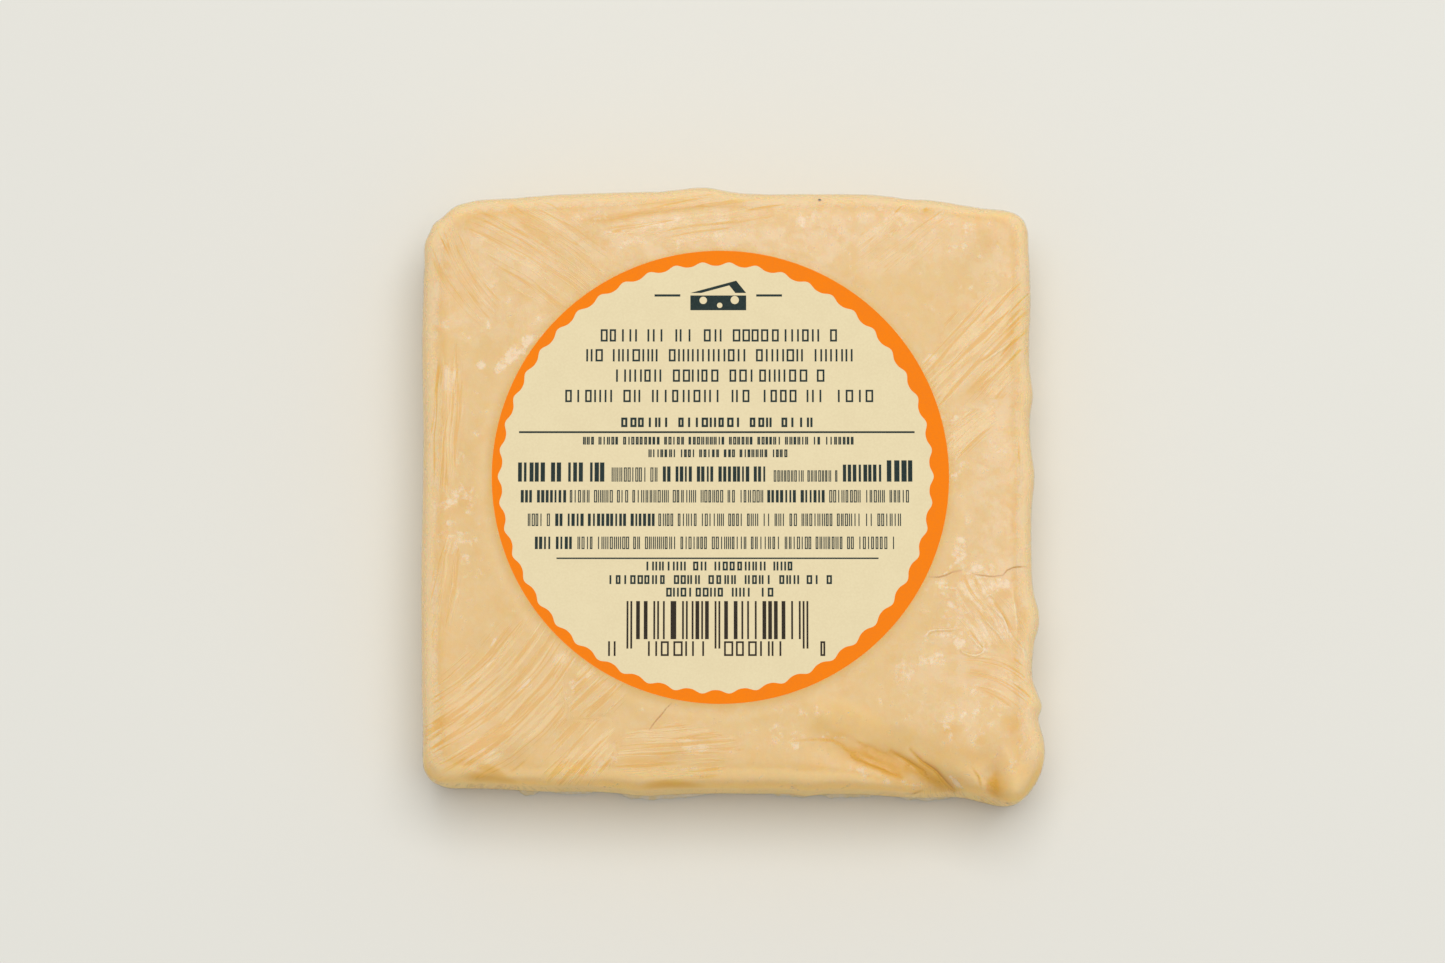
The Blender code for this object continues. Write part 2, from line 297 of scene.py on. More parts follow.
# Small bumps of the walls in mm: place in the plan, radius and height.
BUMPS = (
    (43.3, -30.2, 1.1, 0.40),
    (-41.6, 37.8, 1.0, 0.35),
    (-38.8, 40.0, 1.3, 0.20),
    (-42.9, 35.6, 2.0, 0.38),
    (39.3, -41.7, 1.5, 0.30),
)

# Ragged stretches of film along the front foot, all in mm: each one's middle, half width and reach past
# the skin, and then their mesh step, thickness, depth of the inner row in the skin, its height and
# the fall from there to the outer row.
LIPS = (
    (-28.7, 1.6, 0.14),
    (-22.5, 4.0, -0.12),
    (-9.5, 8.0, 0.06),
    (8.5, 4.0, -0.16),
    (16.5, 5.0, -0.06),
    (27.5, 5.0, -0.16),
)
LIP_STEP = 0.12
LIP_THICKNESS = 0.12
LIP_BURIED = 1.0
LIP_HEIGHT = 0.75
LIP_FALL = 0.45

# How deep the fine unevenness of the skin and of the paper is.
SKIN_BUMP = 0.06 * MM
PAPER_BUMP = 0.03 * MM

# Below this height the skin's relief fades out, so that the foot stays flat.
FOOT_EDGE = 0.8 * MM

# How strongly painted colour shows: painted shade low on the walls and on the front wall, painted light
# round the upper edges of the sides and the back and on the front's crest, a painted shadow round the
# label, painted shade along the front foot, and how strongly the film's haze shows there.
LOW_WALL_SHADE_SHARE = 0.50
FRONT_WALL_SHADE_SHARE = 0.85
RIM_LIGHT_SHARE = 0.72
CREST_LIGHT_SHARE = 0.6
LABEL_SHADOW_SHARE = 0.55
FOOT_SHADE_SHARE = 0.45
FOOT_HAZE_SHARE = 0.15

# A dark grain on the cheese: its place and radius in mm, how it is flattened, and its two colours.
GRAIN_PLACE = (12.4, 41.0)
GRAIN_RADIUS = 0.2
GRAIN_FORM = (1.15, 0.9, 0.45)
GRAIN_DARK = (0.02, 0.012, 0.006)
GRAIN_PALE = (0.07, 0.04, 0.02)

# How far the ink reaches down into the paper.
INK_SUNK = 0.05 * MM

# Kinds of print in mm: the marks' height, the step from mark to mark and the thickness of a stroke.
TITLE_PRINT = (1.75, 1.38, 0.26)
SMALL_PRINT = (1.10, 0.58, 0.19)
BOLD_PRINT = (1.75, 0.60, 0.27)
THIN_PRINT = (1.75, 0.57, 0.15)

# Rows of print, in mm from the label's middle: the row's middle, its left and right ends, and its kind
# of print. A row's number is the seed of its random draw.
PrintRow = namedtuple("PrintRow", "y left right height step stroke")
PRINT_ROWS = (
    PrintRow(19.74, -16.7, 16.3, *TITLE_PRINT),
    PrintRow(16.93, -18.7, 18.3, *TITLE_PRINT),
    PrintRow(14.06, -14.9, 14.5, *TITLE_PRINT),
    PrintRow(11.19, -21.6, 21.2, *TITLE_PRINT),
    PrintRow(7.48, -13.8, 13.1, 1.35, 1.17, 0.31),
    PrintRow(4.90, -19.1, 18.7, *SMALL_PRINT),
    PrintRow(3.13, -10.0, 9.5, *SMALL_PRINT),
    PrintRow(0.50, -28.1, -16.2, 2.70, 0.80, 0.36),
    PrintRow(0.15, -15.1, -8.6, 2.00, 0.56, 0.15),
    PrintRow(0.22, -8.0, 6.9, 2.15, 0.64, 0.27),
    PrintRow(-0.05, 7.4, 16.6, 1.60, 0.48, 0.14),
    PrintRow(0.35, 17.0, 22.6, 2.40, 0.70, 0.33),
    PrintRow(0.65, 23.1, 27.0, 3.00, 0.97, 0.45),
    PrintRow(-2.89, -27.7, -21.4, *BOLD_PRINT),
    PrintRow(-2.89, -20.9, 6.1, *THIN_PRINT),
    PrintRow(-2.89, 6.5, 14.6, *BOLD_PRINT),
    PrintRow(-2.89, 15.1, 26.5, *THIN_PRINT),
    PrintRow(-6.18, -26.7, -23.4, *THIN_PRINT),
    PrintRow(-6.18, -22.9, -9.1, *BOLD_PRINT),
    PrintRow(-6.18, -8.6, 25.3, *THIN_PRINT),
    PrintRow(-9.40, -25.7, -20.3, *BOLD_PRINT),
    PrintRow(-9.40, -19.8, 24.2, *THIN_PRINT),
    PrintRow(-12.63, -10.5, 11.2, 1.25, 1.03, 0.26),
    PrintRow(-14.52, -15.6, 16.0, 1.25, 1.02, 0.26),
    PrintRow(-16.27, -7.5, 8.3, 1.25, 1.05, 0.26),
    PrintRow(-24.10, -10.0, -1.3, 2.05, 1.75, 0.26),
    PrintRow(-24.10, 0.5, 9.1, 2.05, 1.75, 0.26),
    PrintRow(-24.10, -15.5, -14.1, 2.05, 1.40, 0.26),
    PrintRow(-24.10, 13.8, 14.8, 2.05, 1.00, 0.26),
)
# The fewest and the most marks in a word.
WORD_MARKS = (2, 9)

# Ruled lines of the print, in mm from the label's middle: height, left end, right end, thickness.
RULES = (
    (6.10, -28.0, 27.0, 0.27),
    (-11.55, -22.7, 21.9, 0.21),
    (25.40, -9.2, -5.6, 0.32),
    (25.40, 5.0, 8.6, 0.32),
)

# A plain wedge of cheese at the head of the label, in mm from the label's middle: its cut side, its
# top as a triangle, and its holes with their radii.
WEDGE_SIDE = (-0.3, 24.35, 7.8, 2.1)
WEDGE_TOP = ((-4.2, 25.75), (3.6, 25.75), (2.2, 27.5))
WEDGE_HOLES = ((-2.4, 24.7, 0.52), (-0.1, 24.0, 0.38), (2.0, 24.75, 0.58))

# The striped code, in mm from the label's middle.
CODE_LEFT = -12.97
CODE_TOP = -17.5
CODE_FOOT = -22.8
CODE_GUARD_FOOT = -24.1
CODE_MODULE = 0.2645
CODE_MODULES = 95
MIDDLE_GUARD = (45, 50)
CODE_GUARDS = ((0, 3), MIDDLE_GUARD, (92, 95))
CODE_SEED = 41

# The second colours of the grain in the paper, the print, the inks and the floor.
PAPER_SHADE = (0.74, 0.62, 0.38)
BORDER_SHADE = (0.84, 0.20, 0.012)
INK_SHADE = (0.035, 0.052, 0.048)
CODE_INK_SHADE = (0.05, 0.04, 0.03)
FLOOR_SHADE = (0.77, 0.75, 0.69)

# The stage in metres: the floor's side, and the main light's place and side.
FLOOR_SIDE = 6.0
KEY_PLACE = (0.08, 0.22, 1.10)
KEY_SIDE = 0.8


# Settings that a user would change.


def colour_setting(name, description, colour):
    return FloatVectorProperty(name=name, description=description, subtype="COLOR", size=3, default=colour)


def length_setting(name, description, length):
    return FloatProperty(name=name, description=description, default=length, unit="LENGTH")


def cover_setting(name, description, share):
    """The share of what lies below that a layer hides."""
    return FloatProperty(
        name=name, description=description, default=share, min=0.0, max=1.0, subtype="FACTOR"
    )


class CheeseSettings(PropertyGroup):
    """Sizes and colours of the cheese."""

    cell: length_setting("Mesh cell", "Size of a face of the fine mesh", 0.45 * MM)
    cell_cuts: IntProperty(
        name="Line cuts", description="Cuts of each face beside a fold or a crack", default=3, min=0
    )
    inset: length_setting("Inset", "How far the cheese lies under the film", 0.1 * MM)
    dimple: length_setting("Dimples", "Height of the soft dimples", 0.04 * MM)
    streak: length_setting("Streak relief", "Height of the film's streaks", 0.045 * MM)
    body: colour_setting("Body", "Main colour", (0.745, 0.512, 0.200))
    pale: colour_setting("Pale", "Colour of pale flecks", (0.745, 0.548, 0.262))
    orange: colour_setting("Orange", "Colour of the deeper patches", (0.745, 0.487, 0.168))
    # Painted shade in the furrows between the streaks.
    furrow: colour_setting("Furrow", "Colour of the furrows between streaks", (0.745, 0.445, 0.120))
    # Painted light: the upper edges of the sides and the back are painted lighter, as if more light fell
    # on them.
    side: colour_setting(
        "Side", "Colour round the upper edge of the sides and the back", (0.95, 0.690, 0.300)
    )
    # Painted shade: the front wall and the low parts of the other walls are painted deeper, most towards
    # the foot.
    wall_shade: colour_setting("Wall", "Colour of the front wall and low on the others", (0.90, 0.590, 0.140))
    # Painted shade: the colour of shade in folds and hollows, round the label and along the front foot.
    ochre_shade: colour_setting("Ochre", "Colour in folds and hollows", (0.71, 0.415, 0.060))
    crack: colour_setting("Crack", "Colour inside a crack", (0.52, 0.24, 0.020))


class FilmSettings(PropertyGroup):
    """Sizes and colours of the clear film."""

    lift: length_setting("Lift", "How far the film lies outside the cheese", 0.1 * MM)
    clear: cover_setting("Clear cover", "Share of the cheese that clear film hides", 0.02)
    haze: cover_setting("Haze cover", "Share of the cheese that pale film hides", 0.44)
    # A painted sheen: a pale cover in place of the film's reflection of the light.
    painted_sheen: cover_setting("Veil", "Share of the cheese that the film's usual sheen hides", 0.22)
    tint: colour_setting("Haze tint", "Colour of the film where it looks pale", (0.810, 0.722, 0.565))
    # Painted shade in the thin furrows between the streaks.
    furrow: colour_setting(
        "Furrow", "Colour of the thin furrows between streaks", (0.70, 0.455, 0.120)
    )
    # Painted shade: the colour of the crisp fold lines in the film.
    shade: colour_setting("Fold", "Colour deep in a fold", (0.66, 0.355, 0.040))
    crack: colour_setting("Crack", "Colour of a crack seen through the film", (0.44, 0.225, 0.020))
    # Also the colour of the painted glints on the streak crests.
    edge: colour_setting("Edge", "Colour of the film's ragged edge", (0.80, 0.66, 0.38))


class LabelSettings(PropertyGroup):
    """Sizes and colours of the paper label."""

    scallops: IntProperty(name="Scallops", description="Waves round the border", default=50, min=3)
    scallop_steps: IntProperty(name="Steps", description="Mesh steps in each scallop", default=12, min=4)
    field_radius: length_setting("Field radius", "Mean radius of the cream field", 29.96 * MM)
    scallop_height: length_setting("Scallop height", "From trough to tip", 0.54 * MM)
    print_shift: FloatVectorProperty(
        name="Print shift", description="How far the print lies off the label's middle", size=2,
        subtype="TRANSLATION", default=(-0.64 * MM, -0.11 * MM)
    )
    ink_height: length_setting("Ink", "How far the ink stands on the paper", 0.012 * MM)
    border: colour_setting("Border", "Colour of the border", (0.94, 0.222, 0.003))
    paper: colour_setting("Paper", "Colour of the field", (0.815, 0.70, 0.437))
    ink: colour_setting("Ink colour", "Colour of the print", (0.018, 0.032, 0.030))
    code_ink: colour_setting("Code colour", "Colour of the striped code", (0.030, 0.023, 0.015))


class StageSettings(PropertyGroup):
    """The floor, the light and the camera."""

    floor: colour_setting("Floor", "Colour of the floor", (0.785, 0.775, 0.715))
    elevation: FloatProperty(
        name="Elevation", description="Camera angle above the floor", default=math.radians(82.3),
        subtype="ANGLE"
    )
    distance: length_setting("Distance", "From the camera to its target", 0.56)
    lens: FloatProperty(name="Lens", description="Focal length in mm on a 36 mm sensor", default=100.5)
    target_shift: FloatVectorProperty(
        name="Target shift", description="The camera's target from the middle of the label's top", size=3,
        subtype="TRANSLATION", default=(0.2915 * MM, -0.812 * MM, -0.078 * MM)
    )
    key: FloatProperty(name="Key", description="Power of the main light in watts", default=8.1)
    sky: FloatProperty(name="Sky", description="Strength of the even light", default=0.47)


# Handling objects.


def select_only(piece):
    """Makes one object the only selected one, and the active one."""
    bpy.ops.object.select_all(action="DESELECT")
    piece.select_set(True)
    bpy.context.view_layer.objects.active = piece


def edit(piece, select_mode="VERT"):
    """Opens an object in edit mode with nothing selected."""
    select_only(piece)
    bpy.ops.object.mode_set(mode="EDIT")
    bpy.ops.mesh.select_mode(type=select_mode)
    bpy.ops.mesh.select_all(action="DESELECT")


def close_edit():
    bpy.ops.object.mode_set(mode="OBJECT")


def edit_faces(piece, chosen):
    """Opens an object in edit mode with only the chosen faces selected."""
    edit(piece, "FACE")
    close_edit()
    piece.data.polygons.foreach_set("select", chosen)
    bpy.ops.object.mode_set(mode="EDIT")


def apply_modifier(piece, kind, **settings):
    """Adds a modifier, gives it its settings and applies it."""
    select_only(piece)
    modifier = piece.modifiers.new(kind.lower(), kind)
    for name, value in settings.items():
        setattr(modifier, name, value)
    bpy.ops.object.modifier_apply(modifier=modifier.name)


def merged_copy(name, node):
    """A new object with a copy of a CAD node's mesh, its loose triangles merged into one skin."""
    piece = bpy.data.objects.new(name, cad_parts[node].data.copy())
    bpy.context.scene.collection.objects.link(piece)
    piece.data.materials.clear()
    edit(piece)
    bpy.ops.mesh.select_all(action="SELECT")
    bpy.ops.mesh.remove_doubles(threshold=SAME_PLACE)
    close_edit()
    return piece


def finished(piece, slot, *nodes):
    """Gives a piece its body, and hides the CAD nodes that it stands for."""
    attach(piece, BODY)
    if nodes:
        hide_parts(*nodes)


def built(name):
    """An earlier piece, which has to be there."""
    piece = bpy.data.objects.get(name)
    if piece is None:
        raise RuntimeError(f"{name} is built first")
    return piece


# Reading and moving many vertices at once.


def vertex_points(mesh):
    points = np.empty(len(mesh.vertices) * 3, np.float32)
    mesh.vertices.foreach_get("co", points)
    return points.reshape(-1, 3).astype(float)


def vertex_normals(mesh):
    normals = np.empty(len(mesh.vertices) * 3, np.float32)
    mesh.vertex_normals.foreach_get("vector", normals)
    return normals.reshape(-1, 3).astype(float)


def move_vertices(mesh, points):
    mesh.vertices.foreach_set("co", points.astype(np.float32).ravel())
    mesh.update()


def keep_value(mesh, name, values):
    """Stores one number for each vertex under a name that a material can read."""
    mesh.attributes.new(name, "FLOAT", "POINT").data.foreach_set("value", values.astype(np.float32))


def keep_vector(mesh, name, values):
    layer = mesh.attributes.new(name, "FLOAT_VECTOR", "POINT")
    layer.data.foreach_set("vector", values.astype(np.float32).ravel())


def smooth_step(values, start, end):
    share = np.clip((values - start) / (end - start), 0.0, 1.0)
    return share * share * (3.0 - 2.0 * share)


def noise_at(points, size, shift=0.0):
    """Smooth noise of about -1..1 at each point, with lumps of the given size."""
    offset = Vector((shift, 2.0 * shift, 3.0 * shift))
    return np.array([noise.noise(Vector(point) + offset) for point in (points / size).tolist()])


# The forms of the skin.


def turned(plan, patch):
    """Plan points in mm, as places along and across a patch's direction from its middle."""
    turn = math.radians(patch.turn)
    away = plan - (patch.x, patch.y)
    along = away @ (math.cos(turn), math.sin(turn))
    across = away @ (-math.sin(turn), math.cos(turn))
    return along, across


def patch_cover(plan, patches):
    """The strongest of some soft oval patches at each plan point."""
    cover = np.zeros(len(plan))
    for patch in patches:
        along, across = turned(plan, patch)
        reach = (along / patch.along) ** 2 + (across / patch.across) ** 2
        cover = np.maximum(cover, patch.amount * smooth_step(1.0 - reach, 0.0, 0.9))
    return cover


def top_share(points):
    """1 on the top and 0 on the walls and the foot."""
    return smooth_step(points[:, 2], 0.70 * BLOCK_HIGH.z, 0.88 * BLOCK_HIGH.z)


def label_distance(points):
    """Each point's distance from the label's middle, seen from above."""
    return np.hypot(points[:, 0] - LABEL_MIDDLE.x, points[:, 1] - LABEL_MIDDLE.y)


def outside_label(points):
    """0 under the label and 1 from a little outside its edge."""
    return smooth_step(label_distance(points) - LABEL_RADIUS, -0.6 * MM, 1.2 * MM)


def wall_flow(points):
    """Places along and across the streaks of the walls, which run up and down, in mm."""
    on_side = np.abs(points[:, 0]) / BLOCK_HIGH.x > np.abs(points[:, 1]) / BLOCK_HIGH.y
    across = np.where(on_side, points[:, 1], points[:, 0] + WALLS_APART)
    lean = 0.35 * np.sin(across / (9.0 * MM))
    return points[:, 2] / MM, (across + lean * points[:, 2]) / MM


def corner_share(points):
    """1 at the upright corners and 0 along the middle of the sides."""
    across = np.abs(points[:, 0]) / BLOCK_HIGH.x
    along = np.abs(points[:, 1]) / BLOCK_HIGH.y
    return smooth_step(np.minimum(across, along), 0.45, 0.95)


def streak_fields(points, tilt):
    """Each point's place along and across the streaks in mm, and the streaks' strength there.

    A third value, the layer, keeps the patterns of the patches and of the walls apart.
    """
    plan = points[:, :2] / MM
    wave = 0.6 * noise_at(points, 5.0 * MM, 7.0)
    ragged = 0.25 * noise_at(points, 2.4 * MM, 21.0)
    top = top_share(points) * (1.0 - 0.5 * smooth_step(tilt, 0.05, 0.25))
    wall_along, wall_across = wall_flow(points)
    best = (1.0 - top_share(points)) * (0.30 + 0.45 * corner_share(points))
    second = np.zeros(len(points))
    flow = np.stack([wall_along, wall_across + wave, np.full(len(points), WALL_LAYER)], axis=1)
    for index, patch in enumerate(STREAK_PATCHES):
        along, across = turned(plan, patch)
        reach = (along / patch.along) ** 2 + (across / patch.across) ** 2
        strength = patch.strength * smooth_step(1.0 - reach + ragged, 0.0, 0.7) * top
        stronger = strength > best
        second = np.where(stronger, best, np.maximum(second, strength))
        best = np.where(stronger, strength, best)
        across = across + patch.waves * wave + patch.bend * (along / patch.along) ** 2 * patch.across
        here = np.stack([along, across, np.full(len(points), LAYER_STEP * index)], axis=1)
        flow[stronger] = here[stronger]
    strength = best * smooth_step(best - second, 0.04, 0.30)
    return flow, strength * outside_label(points)


def beside_leg(plan, start, end):
    """Each plan point's share of the way along one leg of a line, and its distance from the leg."""
    run = np.subtract(end, start)
    share = np.clip(((plan - start) @ run) / (run @ run), 0.0, 1.0)
    return share, np.linalg.norm(plan - start - share[:, None] * run, axis=1)


def line_cover(plan, line):
    """How deep each plan point lies in a thin line's own profile, from 0 to 1."""
    nearest = np.full(len(plan), np.inf)
    way = np.zeros(len(plan))
    for index, (start, end) in enumerate(zip(line.points, line.points[1:])):
        share, distance = beside_leg(plan, start, end)
        way = np.where(distance < nearest, (index + share) / (len(line.points) - 1), way)
        nearest = np.minimum(nearest, distance)
    taper = np.sqrt(np.clip(np.sin(math.pi * np.clip(way, 0.04, 0.96)), 0.0, 1.0))
    return taper * np.exp(-((nearest / line.half_width) ** 2))


def strongest_line(plan, lines):
    """The strongest cover of some thin lines at each plan point."""
    cover = np.zeros(len(plan))
    for line in lines:
        cover = np.maximum(cover, line_cover(plan, line))
    return cover


def near_lines(plan, margin):
    """Which plan points lie beside any thin line."""
    near = np.zeros(len(plan), bool)
    for line in LINES + SHADE_STROKES:
        for start, end in zip(line.points, line.points[1:]):
            near |= beside_leg(plan, start, end)[1] < margin + line.half_width
    return near


def refine_beside_lines(piece, cuts):
    """Cuts the faces beside the thin lines of the top into smaller ones."""
    mesh = piece.data
    centres = np.empty(len(mesh.polygons) * 3, np.float32)
    mesh.polygons.foreach_get("center", centres)
    centres = centres.reshape(-1, 3).astype(float)
    chosen = near_lines(centres[:, :2] / MM, LINE_MARGIN) & (centres[:, 2] > 0.6 * BLOCK_HIGH.z)
    edit_faces(piece, chosen)
    bpy.ops.mesh.subdivide(number_cuts=cuts)
    close_edit()


def join_foot(piece):
    """Lays the foot flat, and joins its many flat faces into one."""
    mesh = piece.data
    points = vertex_points(mesh)
    points[points[:, 2] < FOOT_LEVEL, 2] = 0.0
    move_vertices(mesh, points)
    flat = points[:, 2] < SAME_PLACE
    chosen = [bool(flat[list(face.vertices)].all()) for face in mesh.polygons]
    edit_faces(piece, chosen)
    bpy.ops.mesh.dissolve_faces()
    close_edit()


def skin_relief(points, settings, flow, streak):
    """How far the skin stands out from the plain form of the block at each point."""
    plan = points[:, :2] / MM
    clear = outside_label(points)
    top = top_share(points)
    stretched = flow / (6.0, 1.4, 1.0)
    relief = settings.streak * streak * noise_at(stretched, 1.0)
    relief += settings.dimple * clear * noise_at(points, 2.6 * MM, 1.0)
    for line in LINES:
        relief += line.height * MM * top * line_cover(plan, line)
    for x, y, radius, height in BUMPS:
        away = np.hypot(plan[:, 0] - x, plan[:, 1] - y) / radius
        relief += height * MM * np.exp(-(away ** 2))
    return relief


def seat_label(points, gap):
    """Lifts the top to just under the label, with a shallow dip round the label's edge."""
    outside = label_distance(points) - LABEL_RADIUS
    lift = LABEL_LOW.z - gap - TOP_LEVEL
    share = (1.0 - smooth_step(outside, -0.4 * MM, SEAT_SLOPE)) * top_share(points)
    dip = DIP_DEPTH * np.exp(-(((outside - DIP_AWAY) / DIP_HALF_WIDTH) ** 2)) * top_share(points)
    points[:, 2] += lift * share - dip


# Building shader nodes.


def fill(tree, made, inputs):
    """Fills a node's inputs with values or with links."""
    for name, value in inputs.items():
        if isinstance(value, bpy.types.NodeSocket):
            tree.links.new(value, made.inputs[name])
        else:
            made.inputs[name].default_value = value


def add_node(tree, kind, inputs=None, **settings):
    """Adds a node with its settings and inputs."""
    made = tree.nodes.new(kind)
    for name, value in settings.items():
        setattr(made, name, value)
    fill(tree, made, inputs or {})
    return made


def calculate(tree, operation, first, second):
    return add_node(tree, "ShaderNodeMath", {0: first, 1: second}, operation=operation).outputs[0]


def multiply(tree, first, second):
    return calculate(tree, "MULTIPLY", first, second)


def add(tree, first, second):
    return calculate(tree, "ADD", first, second)


def rest_of(tree, share):
    """What a share leaves of the whole."""
    return calculate(tree, "SUBTRACT", 1.0, share)


def remap(tree, value, low, high, to_low=0.0, to_high=1.0):
    """A value's smooth rise from one level to another, and flat outside them."""
    inputs = {"Value": value, "From Min": low, "From Max": high, "To Min": to_low, "To Max": to_high}
    return add_node(tree, "ShaderNodeMapRange", inputs, interpolation_type="SMOOTHSTEP").outputs[0]


def layered_colour(tree, colour, layers):
    """A colour with others laid over it one by one, each by its own share."""
    colour = (*colour, 1.0)
    for share, over in layers:
        inputs = {0: share, 6: colour, 7: (*over, 1.0)}
        colour = add_node(tree, "ShaderNodeMix", inputs, data_type="RGBA").outputs[2]
    return colour


def noise_texture(tree, coordinates, scale, detail=2.0, roughness=0.5):
    inputs = {"Vector": coordinates, "Scale": scale, "Detail": detail, "Roughness": roughness}
    return add_node(tree, "ShaderNodeTexNoise", inputs).outputs["Fac"]


def stretched_noise(tree, flow, stretch):
    """Noise that is drawn out along the flow of the streaks."""
    scaled = add_node(tree, "ShaderNodeVectorMath", {0: flow, 1: stretch}, operation="MULTIPLY")
    return noise_texture(tree, scaled.outputs[0], 1.0, detail=2.0, roughness=0.5)


def line_profile(tree, pattern, level, half_width, bar):
    """1 where a pattern is at a level, falling to 0 a little off it; only what passes the bar shows."""
    off = calculate(tree, "ABSOLUTE", calculate(tree, "SUBTRACT", pattern, level), 0.0)
    profile = rest_of(tree, calculate(tree, "DIVIDE", off, half_width))
    return remap(tree, calculate(tree, "SUBTRACT", profile, bar), 0.0, 0.5)


def attribute(tree, name, output="Fac"):
    return add_node(tree, "ShaderNodeAttribute", attribute_name=name).outputs[output]


def object_coordinates(tree):
    return add_node(tree, "ShaderNodeTexCoord").outputs["Object"]


def bump_normal(tree, height, distance, strength=1.0):
    """The tilt that a small uneven height gives the surface."""
    inputs = {"Height": height, "Strength": strength, "Distance": distance}
    return add_node(tree, "ShaderNodeBump", inputs).outputs["Normal"]


def new_group(name, inputs, outputs):
    """An empty shader group with named sockets, and its input and output nodes."""
    group = bpy.data.node_groups.new(name, "ShaderNodeTree")
    for label, kind in inputs:
        group.interface.new_socket(name=label, in_out="INPUT", socket_type=kind)
    for label in outputs:
        group.interface.new_socket(name=label, in_out="OUTPUT", socket_type="NodeSocketFloat")
    return group, group.nodes.new("NodeGroupInput"), group.nodes.new("NodeGroupOutput")


def use_group(tree, group, inputs):
    made = tree.nodes.new("ShaderNodeGroup")
    made.node_tree = group
    fill(tree, made, inputs)
    return made


def film_streaks_group():
    """Long thin streaks of drawn film: crests painted pale, partly as painted glints and partly as film
    standing clear, and furrows painted deeper as painted shade.
    """
    group = bpy.data.node_groups.get("film streaks")
    if group:
        return group
    group, given, result = new_group(
        "film streaks", [("Flow", "NodeSocketVector"), ("Strength", "NodeSocketFloat")],
        ["CrestGlintAndHaze", "Furrow", "Height", "Grain"],
    )
    flow = given.outputs["Flow"]
    strength = given.outputs["Strength"]
    bands = stretched_noise(group, flow, (0.06, 0.50, 1.0))
    lines = stretched_noise(group, flow, (0.045, 0.95, 1.0))
    bar = rest_of(group, strength)
    line = line_profile(group, lines, 0.50, 0.055, bar)
    beside = line_profile(group, lines, 0.585, 0.065, bar)
    pale_band = multiply(group, remap(group, bands, 0.48, 0.68, 0.0, 0.45), strength)
    deep_band = multiply(group, remap(group, bands, 0.46, 0.30, 0.0, 0.55), strength)
    crest = calculate(group, "MAXIMUM", pale_band, line)
    furrow = calculate(group, "MAXIMUM", deep_band, calculate(group, "SUBTRACT", beside, line))
    height = add(group, multiply(group, bands, strength), multiply(group, line, 0.12))
    grain = stretched_noise(group, flow, (0.18, 1.10, 1.0))
    fill(group, result, {"CrestGlintAndHaze": crest, "Furrow": furrow, "Height": height, "Grain": grain})
    return group


def paper_grain_group():
    """The fine uneven grain of uncoated label paper, as a shade and a height."""
    group = bpy.data.node_groups.get("paper grain")
    if group:
        return group
    group, given, result = new_group(
        "paper grain", [("Coordinates", "NodeSocketVector"), ("Amount", "NodeSocketFloat")],
        ["Shade", "Height"],
    )
    fine = noise_texture(group, given.outputs["Coordinates"], 3200.0, detail=3.0, roughness=0.65)
    broad = noise_texture(group, given.outputs["Coordinates"], 260.0, detail=2.0)
    mixed = add(group, multiply(group, fine, 0.7), multiply(group, broad, 0.3))
    shade = multiply(group, remap(group, mixed, 0.35, 0.65), given.outputs["Amount"])
    fill(group, result, {"Shade": shade, "Height": fine})
    return group


def new_material(name):
    """A new material, its node tree and its Principled shader."""
    material = bpy.data.materials.new(name)
    material.use_nodes = True
    return material, material.node_tree, material.node_tree.nodes["Principled BSDF"]


def streaks_of(tree):
    """The film's streaks at each place, as the outputs of their group."""
    inputs = {"Flow": attribute(tree, "flow", "Vector"), "Strength": attribute(tree, "streak")}
    return use_group(tree, film_streaks_group(), inputs).outputs


def cheese_material(settings):
    """Pale cheddar: soft patches and flecks, painted shade in furrows, folds, hollows and low on the
    walls, and painted light round the upper edges.
    """
    material, tree, shader = new_material("cheddar")
    place = object_coordinates(tree)
    streaks = streaks_of(tree)
    patches = noise_texture(tree, place, 210.0, detail=5.0, roughness=0.6)
    flecks = noise_texture(tree, place, 800.0, detail=5.0, roughness=0.7)
    layers = (
        (remap(tree, patches, 0.46, 0.68, 0.0, 0.8), settings.orange),
        (remap(tree, flecks, 0.42, 0.68, 0.0, 0.60), settings.pale),
        (multiply(tree, streaks["Furrow"], 0.6), settings.furrow),
        (attribute(tree, "side"), settings.side),
        (attribute(tree, "wall_shade"), settings.wall_shade),
        (attribute(tree, "deep_and_shade"), settings.ochre_shade),
        (attribute(tree, "crack"), settings.crack),
    )
    height = add(tree, streaks["Height"], multiply(tree, flecks, 0.12))
    fill(tree, shader, {
        "Base Color": layered_colour(tree, settings.body, layers),
        "Normal": bump_normal(tree, height, SKIN_BUMP),
        "Roughness": 0.40,
        "Specular IOR Level": 0.35,
        "Subsurface Weight": 1.0,
        "Subsurface Radius": (1.0, 0.60, 0.25),
        "Subsurface Scale": 4.0 * MM,
    })
    return material


def grain_material():
    """A dark grain on the cheese."""
    material, tree, shader = new_material("dark grain")
    tone = noise_texture(tree, object_coordinates(tree), 4000.0)
    colour = layered_colour(tree, GRAIN_DARK, ((remap(tree, tone, 0.3, 0.7), GRAIN_PALE),))
    fill(tree, shader, {"Base Color": colour, "Roughness": 0.6})
    return material


